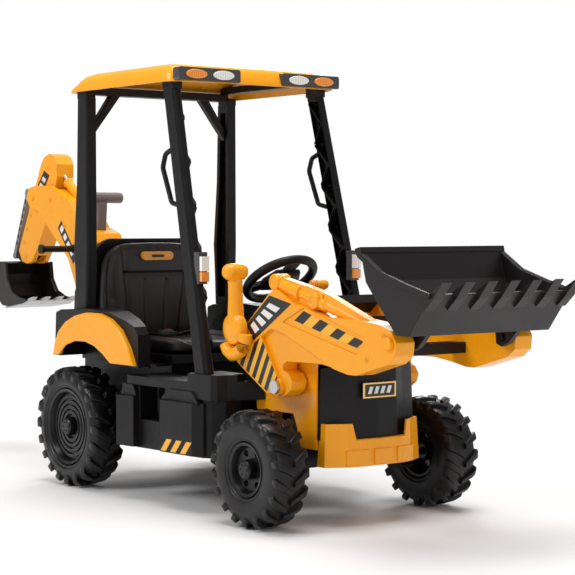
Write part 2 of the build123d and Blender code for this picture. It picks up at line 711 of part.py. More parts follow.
with BuildPart() as dash_console:
    dash_outline = [(535, 205), (535, 400), (570, 470), (602, 462), (616, 398), (616, 205)]
    dash_inside = [(540, 160), (540, 398), (573, 464), (598, 457), (611, 397), (611, 160)]
    extrude(outline(dash_outline, side_plane(0)), amount=110, both=True)
    fillet(dash_console.edges().filter_by(Axis.Y).sort_by(Axis.Z)[-2:], 8)
    extrude(outline(dash_inside, side_plane(0)), amount=105, both=True, mode=Mode.SUBTRACT)
    # solid block that the rocker switch is let into
    switch_block = [(538, 399), (573, 467), (590, 462), (590, 400)]
    extrude(outline(switch_block, side_plane(88)), amount=52)
    add(column_space.part, mode=Mode.SUBTRACT)
    with Locations(SWITCH_PLANE):
        Box(30, 21, 16, mode=Mode.SUBTRACT)
        Cylinder(2, 32, rotation=(0, 90, 0))
save(dash_console.part, "dash_console")

with BuildPart() as gear_switch:
    with Locations(SWITCH_PLANE):
        Box(27, 17, 9)
        fillet(gear_switch.edges().filter_by(lambda e: e.length > 16), 1.5)
        Cylinder(2 + RUNNING, 32, rotation=(0, 90, 0), mode=Mode.SUBTRACT)
save(gear_switch.part, "gear_switch")

WHEEL_RIM = 84.0
with BuildPart() as steering_wheel:
    with Locations(wheel_plane):
        Torus(WHEEL_RIM, 11)
        Cylinder(27, 24)
        with PolarLocations(54, 3, start_angle=90):
            Box(64, 26, 11)
        with Locations((0, 0, -43)):
            Cylinder(SHAFT_RADIUS, 66)
        for button_side in (-1, 1):
            with Locations((button_side * 13, 0, 10)):
                Cylinder(6.4, 12, mode=Mode.SUBTRACT)
save(steering_wheel.part, "steering_wheel")

with BuildPart() as horn_buttons:
    with Locations(wheel_plane):
        for button_side in (-1, 1):
            with Locations((button_side * 13, 0, 11)):
                Cylinder(6, 8)
save(horn_buttons.part, "horn_buttons")

with BuildPart() as accelerator_pedal:
    with Locations(side_plane(PEDAL_Y)):
        with Locations(PEDAL_PIVOT):
            Cylinder(6, 50)
    pedal_plate = [(447, 218), (512, 262), (518, 255), (454, 210)]
    extrude(outline(pedal_plate, side_plane(PEDAL_Y)), amount=27, both=True)
    with Locations(side_plane(PEDAL_Y)):
        with Locations(PEDAL_PIVOT):
            Cylinder(3 + RUNNING, 80, mode=Mode.SUBTRACT)
save(accelerator_pedal.part, "accelerator_pedal")

# ------------------------------------------------------------------ front loader
LOADER_PIN_RADIUS = 10.0
BUCKET_PIN_RADIUS = 6.0
arm_outline = [
    (730, 288), (757, 280), (785, 286), (806, 300), (812, 318), (800, 335), (777, 343), (777, 354),
    (792, 363), (909, 365), (966, 358), (1013, 349), (1041, 349), (1142, 378), (1165, 396),
    (1168, 424), (1152, 447), (1117, 458), (1047, 466), (942, 466), (822, 493), (760, 522),
    (740, 512), (652, 437), (616, 352),
]
arm_hollow = [
    (738, 296), (757, 288), (783, 294), (800, 308), (803, 318), (792, 328), (770, 338), (770, 360),
    (790, 370), (908, 373), (968, 366), (1013, 356), (1040, 357), (1139, 385), (1159, 401),
    (1161, 424), (1148, 442), (1115, 452), (1046, 460), (941, 460), (820, 487), (762, 515),
    (745, 507), (658, 434), (626, 355),
]
# the arm's outer beam stands proud of the web behind it
BEAM_STEP = 9.0
beam_outline = [
    (730, 288), (757, 291), (774, 312), (768, 328), (709, 414), (745, 433), (792, 425), (903, 382),
    (966, 358), (1013, 349), (1041, 349), (1142, 378), (1165, 396), (1168, 424), (1152, 447),
    (1117, 458), (1047, 466), (942, 466), (822, 493), (760, 522), (740, 512), (652, 437), (616, 352),
]
band_channel = [(786, 450), (864, 485), (1070, 429), (1040, 393)]
ram_outline = [
    (745, 551), (858, 530), (930, 514), (1098, 454), (1090, 440), (930, 480), (830, 480), (745, 512),
]
with BuildPart() as loader_arm:
    arm_face = side_plane(-ARM_INNER)
    arm_depth = ARM_OUTER - ARM_INNER
    extrude(outline(arm_outline, arm_face, radius=3), amount=arm_depth - BEAM_STEP)
    extrude(outline(beam_outline, side_plane(-ARM_OUTER + BEAM_STEP + 1), radius=3), amount=BEAM_STEP + 1)
    extrude(
        outline(arm_hollow, side_plane(-ARM_INNER - WALL)),
        amount=arm_depth - BEAM_STEP - 2 * WALL,
        mode=Mode.SUBTRACT,
    )
    # moulded ram along the top edge, between its two knuckles
    extrude(outline(ram_outline, side_plane(-ARM_INNER - 15)), amount=20)
    for knuckle_centre, knuckle_radius in (((748, 536), 16), ((900, 506), 15)):
        extrude(disc(side_plane(-ARM_INNER - 12), knuckle_centre, knuckle_radius), amount=26)
    # channel of the striped band
    extrude(outline(band_channel, side_plane(-ARM_OUTER + 3), radius=2), amount=4, mode=Mode.SUBTRACT)
    # pivot bosses and bores
    for boss_centre, boss_radius in ((LOADER_PIVOT, 20), (BUCKET_PIVOT, 17)):
        extrude(disc(arm_face, boss_centre, boss_radius), amount=arm_depth)
    extrude(disc(arm_face, LOADER_PIVOT, LOADER_PIN_RADIUS + RUNNING), amount=60, mode=Mode.SUBTRACT)
    extrude(disc(arm_face, BUCKET_PIVOT, BUCKET_PIN_RADIUS + RUNNING), amount=60, mode=Mode.SUBTRACT)
    # screw bosses standing on the outer face
    for screw in ((1074, 384), (1128, 436)):
        extrude(disc(side_plane(-ARM_OUTER), screw, 5.5, 2.5), amount=1.5)
save_sides(loader_arm.part, "loader_arm")

with BuildPart() as arm_crossbars:
    for bar_station, bar_height, bar_depth, bar_thick, lean in (
        (692, 478, 40, 24, 40), (757, 432, 44, 24, 30), (990, 392, 46, 24, 0),
    ):
        bar_plane = Plane(
            origin=at(bar_station, 0, bar_height),
            x_dir=(cos(radians(lean)), 0, sin(radians(lean))),
            z_dir=(0, -1, 0),
        )
        with Locations(bar_plane):
            Box(bar_depth, bar_thick, 2 * ARM_INNER)
            for channel in range(-3, 4):
                with Locations((0, 9, channel * 36)):
                    Box(bar_depth - 8, 10, 30, mode=Mode.SUBTRACT)
save(arm_crossbars.part, "arm_crossbars")

lever_outline = [
    (609, 545), (645, 545), (648, 470), (664, 440), (688, 412), (684, 372), (640, 354), (606, 364),
    (592, 400), (592, 440), (607, 466),
]
with BuildPart() as loader_lever:
    extrude(outline(lever_outline, side_plane(-ARM_OUTER - 3), radius=6), amount=20)
    extrude(disc(side_plane(-ARM_OUTER - 23), (626, 430), 34, 22), amount=4)
    extrude(disc(side_plane(-ARM_OUTER), (652, 400), 26), amount=3)
    with Locations(at(627, -207, 557)):
        Box(38, 44, 38)
    knob_edges = loader_lever.edges().group_by(Axis.Z)[-1]
    fillet(knob_edges, 12)
save(loader_lever.part, "loader_lever")

with BuildPart() as loader_pin:
    extrude(disc(side_plane(-118), LOADER_PIVOT, LOADER_PIN_RADIUS), amount=ARM_OUTER + 3 - 118)
    extrude(disc(side_plane(-ARM_OUTER - 1), LOADER_PIVOT, 15), amount=7)
    extrude(disc(side_plane(-112), LOADER_PIVOT, 15), amount=6)
save_mirrored_group(loader_pin.part, "loader_pins")

# ------------------------------------------------------------------ loader bucket
BUCKET_HALF = 200.0
BUCKET_WALL = 6.0
bucket_outline = [
    (1060, 611), (1078, 545), (1172, 440), (1212, 439), (1256, 497), (1280, 525), (1203, 545),
    (1130, 567),
]
bucket_inside = [
    (1067, 650), (1067.5, 611), (1084.5, 548.5), (1175, 446.5), (1209, 446), (1251, 501.5),
    (1276, 531), (1300, 560), (1300, 650),
]
EAR_Y = 130.0
with BuildPart() as loader_bucket:
    extrude(outline(bucket_outline, side_plane(0)), amount=BUCKET_HALF, both=True)
    extrude(
        outline(bucket_inside, side_plane(0)),
        amount=BUCKET_HALF - BUCKET_WALL,
        both=True,
        mode=Mode.SUBTRACT,
    )
    side_flange = [
        (1058, 613), (1129, 569), (1202, 547), (1281, 527), (1276, 517), (1199, 536), (1124, 558),
        (1058, 597),
    ]
    rear_flange = [(1050, 614), (1068, 618), (1071, 606), (1055, 600)]
    for hand in (-1, 1):
        extrude(outline(side_flange, side_plane(hand * BUCKET_HALF)), amount=-hand * 7)
    extrude(outline(rear_flange, side_plane(0)), amount=BUCKET_HALF + 7, both=True)
    for tooth in range(7):
        tooth_y = (tooth - 3) * 63
        tooth_outline = [(1258, 492), (1283, 515), (1314, 552), (1276, 531), (1252, 503)]
        extrude(outline(tooth_outline, side_plane(tooth_y + 13)), amount=26)
    ear = [(1130, 408), (1146, 402), (1168, 412), (1196, 441), (1172, 446), (1112, 512), (1108, 500),
           (1126, 440)]
    for hand in (-1, 1):
        extrude(outline(ear, side_plane(hand * EAR_Y + 6)), amount=12)
    pin_bore = disc(side_plane(0), BUCKET_PIVOT, BUCKET_PIN_RADIUS)
    extrude(pin_bore, amount=160, both=True, mode=Mode.SUBTRACT)
save(loader_bucket.part, "loader_bucket")

with BuildPart() as bucket_pin:
    extrude(disc(side_plane(-EAR_Y + 8), BUCKET_PIVOT, BUCKET_PIN_RADIUS), amount=ARM_OUTER + 4 - EAR_Y + 8)
    extrude(disc(side_plane(-ARM_OUTER - 1), BUCKET_PIVOT, 10), amount=6)
    extrude(disc(side_plane(-EAR_Y + 12), BUCKET_PIVOT, 10), amount=6)
save_mirrored_group(bucket_pin.part, "bucket_pins")

# ------------------------------------------------------------------ backhoe: mount and kingpost
KING_RADIUS = 12.0
with BuildPart() as backhoe_mount:
    mount_outline = [
        (-105, 155), (-105, 325), (-150, 352), (-255, 385), (-350, 385), (-350, 350), (-262, 345),
        (-170, 250), (-135, 155),
    ]
    extrude(outline(mount_outline, side_plane(0)), amount=42, both=True)
    with Locations(at(-110, 0, 240)):
        Box(10, 150, 150)
    with Locations(at(KING_STATION, 0, 367)):
        Cylinder(46, 36)
        Cylinder(KING_RADIUS + RUNNING, 60, mode=Mode.SUBTRACT)
save(backhoe_mount.part, "backhoe_mount")

with BuildPart() as kingpost:
    with Locations(at(KING_STATION, 0, 362)):
        Cylinder(KING_RADIUS, 54)
    with Locations(at(KING_STATION, 0, 393)):
        Cylinder(47, 14)
    for hand in (-1, 1):
        cheek = [(-352, 394), (-268, 394), (-285, 480), (-300, 500), (-330, 500), (-345, 480)]
        extrude(outline(cheek, side_plane(hand * (BOOM_HALF + 6) + 5)), amount=10)
    with Locations(at(KING_STATION, 0, 397)):
        Box(76, 2 * BOOM_HALF + 20, 6)
    with Locations(side_plane(0)):
        with Locations(BOOM_PIVOT):
            Cylinder(8, 2 * BOOM_HALF + 30)
save(kingpost.part, "kingpost")

# ------------------------------------------------------------------ boom, handle and grip
boom_outline = [
    (-585, 777), (-500, 775), (-400, 735), (-318, 657), (-262, 641), (-246, 615), (-293, 470),
    (-295, 432), (-338, 430), (-362, 500), (-400, 570), (-572, 705), (-615, 712), (-637, 742),
    (-622, 770),
]
boom_inside = [
    (-450, 738), (-398, 720), (-318, 642), (-268, 627), (-258, 612), (-304, 500), (-345, 502),
    (-388, 580), (-440, 645),
]
with BuildPart() as boom:
    extrude(outline(boom_outline, side_plane(0), radius=6), amount=BOOM_HALF, both=True)
    extrude(outline(boom_inside, side_plane(0)), amount=BOOM_HALF - WALL, both=True, mode=Mode.SUBTRACT)
    slot = disc(side_plane(0), DIPPER_PIVOT, 128)
    extrude(slot, amount=DIPPER_HALF + 1.5, both=True, mode=Mode.SUBTRACT)
    boom_bore = disc(side_plane(0), BOOM_PIVOT, 8 + RUNNING)
    extrude(boom_bore, amount=60, both=True, mode=Mode.SUBTRACT)
    extrude(disc(side_plane(0), DIPPER_PIVOT, 8), amount=BOOM_HALF + 4, both=True)
    for hand in (-1, 1):
        for screw in ((-600, 742), (-500, 735), (-420, 660), (-345, 600), (-290, 600)):
            extrude(disc(side_plane(hand * BOOM_HALF), screw, 7, 3), amount=-hand * 2)
save(boom.part, "boom")

with BuildPart() as tee_handle:
    post = [(-316, 652), (-309, 728), (-281, 728), (-289, 642)]
    extrude(outline(post, side_plane(0)), amount=13, both=True)
    with Locations(side_plane(0)):
        with Locations((-295, 739)):
            Cylinder(15, 134)
    fillet(tee_handle.faces().sort_by(Axis.Y)[0].edges(), 5)
    fillet(tee_handle.faces().sort_by(Axis.Y)[-1].edges(), 5)
    add(boom.part, mode=Mode.SUBTRACT)
save(tee_handle.part, "tee_handle")

with BuildPart() as grip_peg:
    extrude(disc(side_plane(-BOOM_HALF), (-366, 597), 9), amount=106)
    extrude(disc(side_plane(-BOOM_HALF - 99), (-366, 597), 13), amount=8)
    extrude(disc(side_plane(-BOOM_HALF), (-366, 597), 12), amount=4)
save(grip_peg.part, "grip_peg")

# ------------------------------------------------------------------ dipper, link rod and digging bucket
dipper_outline = [
    (-577, 838), (-560, 858), (-530, 867), (-503, 858), (-488, 836), (-487, 800), (-503, 748),
    (-598, 600), (-634, 556), (-662, 550), (-692, 556), (-712, 588),
]
LINK_TOP = (-685.0, 757.0)
LINK_BOTTOM = (-764.0, 572.0)
with BuildPart() as dipper:
    extrude(outline(dipper_outline, side_plane(0), radius=5), amount=DIPPER_HALF, both=True)
    extrude(
        outline(dipper_outline, side_plane(0), inset=6),
        amount=DIPPER_HALF - WALL,
        both=True,
        mode=Mode.SUBTRACT,
    )
    for boss_centre, boss_radius in ((DIPPER_PIVOT, 18), (DIGGER_PIVOT, 16)):
        extrude(disc(side_plane(0), boss_centre, boss_radius), amount=DIPPER_HALF, both=True)
    # fork for the digging bucket's ear
    fork = [(-740, 606), (-640, 612), (-600, 540), (-740, 530)]
    extrude(outline(fork, side_plane(0)), amount=14, both=True, mode=Mode.SUBTRACT)
    extrude(disc(side_plane(0), DIPPER_PIVOT, 8 + RUNNING), amount=60, both=True, mode=Mode.SUBTRACT)
    extrude(disc(side_plane(0), DIGGER_PIVOT, 6), amount=DIPPER_HALF + 2, both=True)
    # stand-off that carries the upper end of the link rod
    standoff = [(-606, 780), (-700, 766), (-704, 750), (-622, 740)]
    extrude(outline(standoff, side_plane(12)), amount=9)
    for hand in (-1, 1):
        for screw in ((-535, 828), (-560, 790), (-640, 690), (-660, 650), (-680, 612)):
            extrude(disc(side_plane(hand * DIPPER_HALF), screw, 6, 3), amount=-hand * 1.2)
save(dipper.part, "dipper")

link_angle = atan2(LINK_BOTTOM[1] - LINK_TOP[1], LINK_BOTTOM[0] - LINK_TOP[0])
LINK_LENGTH = ((LINK_BOTTOM[0] - LINK_TOP[0]) ** 2 + (LINK_BOTTOM[1] - LINK_TOP[1]) ** 2) ** 0.5
link_plane = Plane(
    origin=at(LINK_TOP[0], 0, LINK_TOP[1]),
    x_dir=(cos(link_angle), 0, sin(link_angle)),
    z_dir=(0, -1, 0),
)
with BuildPart() as link_rod:
    with BuildSketch(link_plane):
        with Locations((LINK_LENGTH / 2, 0)):
            Rectangle(LINK_LENGTH, 15)
        with Locations((0, 0)):
            Circle(13)
        with Locations((LINK_LENGTH, 0)):
            Circle(9)
        for window in range(7):
            with Locations((28 + 22 * window, 0)):
                Rectangle(14, 8, mode=Mode.SUBTRACT)
    extrude(amount=14)
save(link_rod.part, "link_rod")

digger_outline = [
    (-745, 556), (-764, 520), (-768, 485), (-757, 450), (-728, 428), (-690, 425), (-600, 438),
    (-572, 447), (-622, 450), (-668, 466), (-696, 502), (-704, 552),
]
digger_inside = [
    (-741, 550), (-758.5, 518), (-763, 486), (-752.5, 453), (-726, 433.5), (-690, 430.5),
    (-600, 443.5), (-560, 453), (-560, 550),
]
with BuildPart() as digger_bucket:
    extrude(outline(digger_outline, side_plane(0)), amount=DIGGER_HALF, both=True)
    extrude(outline(digger_inside, side_plane(0)), amount=DIGGER_HALF - 5, both=True, mode=Mode.SUBTRACT)
    flange = [(-572, 449), (-622, 455), (-666, 471), (-692, 505), (-700, 554), (-712, 554), (-704, 500),
              (-674, 461), (-622, 442), (-590, 441)]
    for hand in (-1, 1):
        extrude(outline(flange, side_plane(hand * DIGGER_HALF)), amount=-hand * 4)
    ear = [(-752, 552), (-776, 566), (-774, 582), (-756, 585), (-690, 582), (-680, 588), (-662, 588),
           (-655, 570), (-668, 560), (-704, 551)]
    extrude(outline(ear, side_plane(12.5)), amount=9.5)
    side_ear = [(-690, 560), (-684, 586), (-664, 588), (-655, 570), (-668, 560), (-700, 550), (-730, 550)]
    extrude(outline(side_ear, side_plane(-3)), amount=9.5)
    extrude(disc(side_plane(0), DIGGER_PIVOT, 6 + RUNNING), amount=60, both=True, mode=Mode.SUBTRACT)
save(digger_bucket.part, "digger_bucket")

with BuildPart() as cutting_edge:
    blade = [
        (-704, 425), (-690, 424.5), (-600, 437.5), (-571, 446.5), (-566, 444), (-598, 432.5),
        (-704, 420),
    ]
    extrude(outline(blade, side_plane(0)), amount=DIGGER_HALF + 2, both=True)
    for tooth in range(4):
        tooth_y = (tooth - 1.5) * 44
        tooth_outline = [(-590, 435), (-566, 444), (-548, 458), (-571, 452), (-592, 446)]
        extrude(outline(tooth_outline, side_plane(tooth_y + 9)), amount=18)
    extrude(outline(digger_outline, side_plane(0)), amount=DIGGER_HALF, both=True, mode=Mode.SUBTRACT)
save(cutting_edge.part, "cutting_edge")
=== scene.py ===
"""Looks of the ride-on toy backhoe loader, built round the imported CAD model.

Lengths in outlines are millimetres: x is the station forward of the rear axle, y is left, z is up.
`place` turns them into metres of the model's frame.
"""

import json
import math

import bmesh
import bpy
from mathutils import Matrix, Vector, noise

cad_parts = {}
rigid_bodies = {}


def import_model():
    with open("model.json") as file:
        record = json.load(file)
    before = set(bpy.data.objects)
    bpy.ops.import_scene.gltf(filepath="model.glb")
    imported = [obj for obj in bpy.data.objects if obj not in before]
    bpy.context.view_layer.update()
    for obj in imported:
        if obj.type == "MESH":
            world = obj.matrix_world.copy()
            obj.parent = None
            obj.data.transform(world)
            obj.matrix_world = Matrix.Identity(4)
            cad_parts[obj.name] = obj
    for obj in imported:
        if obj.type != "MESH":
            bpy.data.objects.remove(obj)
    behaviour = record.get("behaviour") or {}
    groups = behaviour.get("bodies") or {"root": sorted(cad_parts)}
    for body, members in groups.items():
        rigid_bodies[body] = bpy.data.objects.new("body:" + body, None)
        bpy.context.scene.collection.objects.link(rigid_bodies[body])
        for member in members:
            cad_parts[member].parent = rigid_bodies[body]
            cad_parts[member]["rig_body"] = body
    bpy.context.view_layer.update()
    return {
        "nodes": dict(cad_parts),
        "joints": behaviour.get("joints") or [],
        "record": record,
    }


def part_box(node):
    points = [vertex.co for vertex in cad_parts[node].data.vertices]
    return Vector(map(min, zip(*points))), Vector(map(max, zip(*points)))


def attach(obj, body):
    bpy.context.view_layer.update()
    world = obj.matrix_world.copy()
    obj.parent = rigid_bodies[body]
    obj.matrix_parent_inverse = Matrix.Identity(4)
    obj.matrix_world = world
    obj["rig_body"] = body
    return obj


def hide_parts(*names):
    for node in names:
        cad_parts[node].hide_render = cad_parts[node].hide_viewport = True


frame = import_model()
NODES = frame["nodes"]
JOINTS = {joint["name"]: joint for joint in frame["joints"]}
REAR_AXLE_X = JOINTS["rear_wheel_right_spin"]["pos_m"][0]
MM = 0.001
SIDES = (("right", -1), ("left", 1))


# ------------------------------------------------------------------ places and meshes
def place(station, y, z):
    """Point of the model, in metres, from a station, a distance left and a height in millimetres."""
    return Vector((REAR_AXLE_X + station * MM, y * MM, z * MM))


def finish_piece(bm, name, body, material, bevel=0.0, segments=2, smooth=True, angle=40.0):
    """Turn a bmesh into a piece that rides on a body, with its finish, bevels and smooth shading."""
    bmesh.ops.recalc_face_normals(bm, faces=bm.faces)
    mesh = bpy.data.meshes.new(name)
    bm.to_mesh(mesh)
    bm.free()
    piece = bpy.data.objects.new(name, mesh)
    bpy.context.scene.collection.objects.link(piece)
    mesh.materials.append(material)
    if bevel > 0:
        modifier = piece.modifiers.new("bevel", "BEVEL")
        modifier.width = bevel * MM
        modifier.segments = segments
        modifier.limit_method = "ANGLE"
        modifier.angle_limit = math.radians(35)
        modifier.harden_normals = False
    if smooth:
        mesh.shade_smooth()
        mesh.set_sharp_from_angle(angle=math.radians(angle))
    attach(piece, body)
    return piece


def add_prism(bm, points, y0, y1):
    """Side-view outline of (station, z) points, extruded between two distances left."""
    rings = [[bm.verts.new(place(x, y, z)) for x, z in points] for y in (y0, y1)]
    count = len(points)
    for i in range(count):
        j = (i + 1) % count
        bm.faces.new((rings[0][i], rings[0][j], rings[1][j], rings[1][i]))
    bm.faces.new(rings[0])
    bm.faces.new(list(reversed(rings[1])))


def add_rings(bm, rings, closed=True, cap_start=True, cap_end=True):
    """Skin through rings of points of equal count."""
    loops = [[bm.verts.new(point) for point in ring] for ring in rings]
    count = len(loops[0])
    for lower, upper in zip(loops, loops[1:]):
        for i in range(count if closed else count - 1):
            j = (i + 1) % count
            bm.faces.new((lower[i], lower[j], upper[j], upper[i]))
    if cap_start:
        bm.faces.new(list(reversed(loops[0])))
    if cap_end:
        bm.faces.new(loops[-1])
    return loops


def axes_for(direction):
    """Two unit vectors square to a direction and to each other."""
    direction = Vector(direction).normalized()
    helper = Vector((0, 0, 1)) if abs(direction.z) < 0.9 else Vector((1, 0, 0))
    across = direction.cross(helper).normalized()
    return across, direction.cross(across).normalized()


def add_lathe(bm, centre, direction, profile, steps=48, phase=0.0):
    """Turned solid from a profile of (distance along the axis, radius) pairs in millimetres."""
    direction = Vector(direction).normalized()
    across, other = axes_for(direction)
    loops = []
    for along, radius in profile:
        middle = centre + direction * along * MM
        if radius <= 0:
            loops.append([bm.verts.new(middle)])
            continue
        ring = []
        for k in range(steps):
            turn = phase + 2 * math.pi * k / steps
            ring.append(bm.verts.new(
                middle + (across * math.cos(turn) + other * math.sin(turn)) * radius * MM))
        loops.append(ring)
    for lower, upper in zip(loops, loops[1:]):
        for k in range(steps):
            after = (k + 1) % steps
            if len(lower) == 1 and len(upper) == 1:
                continue
            if len(lower) == 1:
                bm.faces.new((lower[0], upper[after], upper[k]))
            elif len(upper) == 1:
                bm.faces.new((lower[k], lower[after], upper[0]))
            else:
                bm.faces.new((lower[k], lower[after], upper[after], upper[k]))


def add_tube(bm, points, radius, steps=10, squash=1.0, up=None):
    """Tube or flat strap along points in metres; radius in millimetres, squash thins it along `up`."""
    rings = []
    for index, point in enumerate(points):
        before = points[max(index - 1, 0)]
        after = points[min(index + 1, len(points) - 1)]
        direction = (after - before).normalized()
        if up is None:
            across, other = axes_for(direction)
        else:
            other = (Vector(up) - direction * Vector(up).dot(direction)).normalized()
            across = direction.cross(other).normalized()
        ring = []
        for k in range(steps):
            turn = 2 * math.pi * (k + 0.5) / steps
            ring.append(point + (across * math.cos(turn) + other * math.sin(turn) * squash) * radius * MM)
        rings.append(ring)
    add_rings(bm, rings)


def clip(points, normal, offset):
    """Part of a convex outline where normal . point <= offset."""
    kept = []
    for index, here in enumerate(points):
        there = points[(index + 1) % len(points)]
        side_here = normal[0] * here[0] + normal[1] * here[1] - offset
        side_there = normal[0] * there[0] + normal[1] * there[1] - offset
        if side_here <= 0:
            kept.append(here)
        if side_here * side_there < 0:
            share = side_here / (side_here - side_there)
            kept.append((here[0] + (there[0] - here[0]) * share, here[1] + (there[1] - here[1]) * share))
    return kept


def stripes(points, lean, pitch, width):
    """Slanted bands, `lean` degrees from level, cut out of a convex outline."""
    normal = (-math.sin(math.radians(lean)), math.cos(math.radians(lean)))
    spread = [normal[0] * x + normal[1] * z for x, z in points]
    bands = []
    start = math.floor(min(spread) / pitch) * pitch
    while start < max(spread):
        band = clip(points, normal, start + width)
        band = clip(band, (-normal[0], -normal[1]), -start)
        if len(band) > 2:
            bands.append(band)
        start += pitch
    return bands


# ------------------------------------------------------------------ materials
def node_material(name):
    """Empty node material: returns it with its tree's nodes, links and main shader."""
    material = bpy.data.materials.new(name)
    material.use_nodes = True
    nodes = material.node_tree.nodes
    return material, nodes, material.node_tree.links, nodes["Principled BSDF"]


def add_noise(nodes, links, scale, detail=3.0):
    """Noise texture on the piece's own coordinates."""
    where = nodes.new("ShaderNodeTexCoord")
    texture = nodes.new("ShaderNodeTexNoise")
    texture.inputs["Scale"].default_value = scale
    texture.inputs["Detail"].default_value = detail
    links.new(where.outputs["Object"], texture.inputs["Vector"])
    return texture


def add_ramp(nodes, links, source, low, high, start=0.3, end=0.7):
    """Colour ramp between two colours."""
    ramp = nodes.new("ShaderNodeValToRGB")
    ramp.color_ramp.elements[0].position = start
    ramp.color_ramp.elements[1].position = end
    ramp.color_ramp.elements[0].color = (*low, 1)
    ramp.color_ramp.elements[1].color = (*high, 1)
    links.new(source, ramp.inputs["Fac"])
    return ramp


def add_range(nodes, links, source, low, high):
    """Map a 0 to 1 value to a range."""
    mapped = nodes.new("ShaderNodeMapRange")
    mapped.inputs["From Min"].default_value = 0.3
    mapped.inputs["From Max"].default_value = 0.7
    mapped.inputs["To Min"].default_value = low
    mapped.inputs["To Max"].default_value = high
    links.new(source, mapped.inputs["Value"])
    return mapped.outputs["Result"]


def add_bump(nodes, links, height, strength, distance, under=None):
    """Bump from a height, laid over another normal if one is given."""
    bump = nodes.new("ShaderNodeBump")
    bump.inputs["Strength"].default_value = strength
    bump.inputs["Distance"].default_value = distance
    links.new(height, bump.inputs["Height"])
    if under is not None:
        links.new(under, bump.inputs["Normal"])
    return bump.outputs["Normal"]


def add_cells(nodes, links, scale, kind, feature="F1"):
    """Voronoi or wave texture on the piece's own coordinates."""
    where = nodes.new("ShaderNodeTexCoord")
    texture = nodes.new(kind)
    texture.inputs["Scale"].default_value = scale
    if kind == "ShaderNodeTexVoronoi":
        texture.feature = feature
    else:
        texture.bands_direction = "Y"
    links.new(where.outputs["Object"], texture.inputs["Vector"])
    return texture


def moulded(name, colour, rough, grain=0.0, grain_scale=900.0, edge=1.6, specular=0.5, coat=0.0,
            vary=0.12, dimples=False):
    """Moulded plastic: cloudy colour, uneven gloss, fine grain and softened edges."""
    material, nodes, links, shader = node_material(name)
    cloud = add_noise(nodes, links, 5.0, 4.0)
    dark = [c * (1 - vary) for c in colour]
    light = [min(1.0, c * (1 + vary)) for c in colour]
    ramp = add_ramp(nodes, links, cloud.outputs["Fac"], dark, light)
    links.new(ramp.outputs["Color"], shader.inputs["Base Color"])
    smudge = add_noise(nodes, links, 22.0, 5.0)
    links.new(add_range(nodes, links, smudge.outputs["Fac"], rough * 0.85, rough * 1.2),
              shader.inputs["Roughness"])
    shader.inputs["Specular IOR Level"].default_value = specular
    shader.inputs["Coat Weight"].default_value = coat
    shader.inputs["Coat Roughness"].default_value = 0.12
    soft = nodes.new("ShaderNodeBevel")
    soft.samples = 4
    soft.inputs["Radius"].default_value = edge * MM
    if dimples:
        height = add_cells(nodes, links, grain_scale, "ShaderNodeTexVoronoi").outputs["Distance"]
    else:
        height = add_noise(nodes, links, grain_scale, 2.0).outputs["Fac"]
    normal = add_bump(nodes, links, height, grain, 0.0004, soft.outputs["Normal"])
    links.new(normal, shader.inputs["Normal"])
    return material


def metal(name, colour, rough):
    """Plated or turned metal with faint streaks."""
    material, nodes, links, shader = node_material(name)
    shader.inputs["Metallic"].default_value = 1.0
    streaks = add_noise(nodes, links, 160.0, 4.0)
    ramp = add_ramp(nodes, links, streaks.outputs["Fac"], [c * 0.86 for c in colour], colour)
    links.new(ramp.outputs["Color"], shader.inputs["Base Color"])
    links.new(add_range(nodes, links, streaks.outputs["Fac"], rough * 0.7, rough * 1.3),
              shader.inputs["Roughness"])
    soft = nodes.new("ShaderNodeBevel")
    soft.samples = 4
    soft.inputs["Radius"].default_value = 0.8 * MM
    links.new(soft.outputs["Normal"], shader.inputs["Normal"])
    return material


def vinyl(name, colour):
    """Seat vinyl: leather-like cells, soft folds and a broad sheen."""
    material, nodes, links, shader = node_material(name)
    cloud = add_noise(nodes, links, 9.0, 4.0)
    ramp = add_ramp(nodes, links, cloud.outputs["Fac"],
                    [c * 0.8 for c in colour], [c * 1.2 for c in colour])
    links.new(ramp.outputs["Color"], shader.inputs["Base Color"])
    links.new(add_range(nodes, links, cloud.outputs["Fac"], 0.36, 0.48), shader.inputs["Roughness"])
    shader.inputs["Specular IOR Level"].default_value = 0.55
    cells = add_cells(nodes, links, 520.0, "ShaderNodeTexVoronoi", "DISTANCE_TO_EDGE")
    grain = add_bump(nodes, links, cells.outputs["Distance"], 0.35, 0.0005)
    folds = add_noise(nodes, links, 26.0, 3.0)
    links.new(add_bump(nodes, links, folds.outputs["Fac"], 0.25, 0.004, grain), shader.inputs["Normal"])
    return material


def webbing(name, colour):
    """Woven strap: fine ribs across the band."""
    material, nodes, links, shader = node_material(name)
    ribs = add_cells(nodes, links, 420.0, "ShaderNodeTexWave")
    ribs.inputs["Distortion"].default_value = 1.0
    ramp = add_ramp(nodes, links, ribs.outputs["Fac"],
                    [c * 0.6 for c in colour], [c * 1.5 for c in colour])
    links.new(ramp.outputs["Color"], shader.inputs["Base Color"])
    shader.inputs["Roughness"].default_value = 0.8
    links.new(add_bump(nodes, links, ribs.outputs["Fac"], 0.6, 0.0006), shader.inputs["Normal"])
    return material


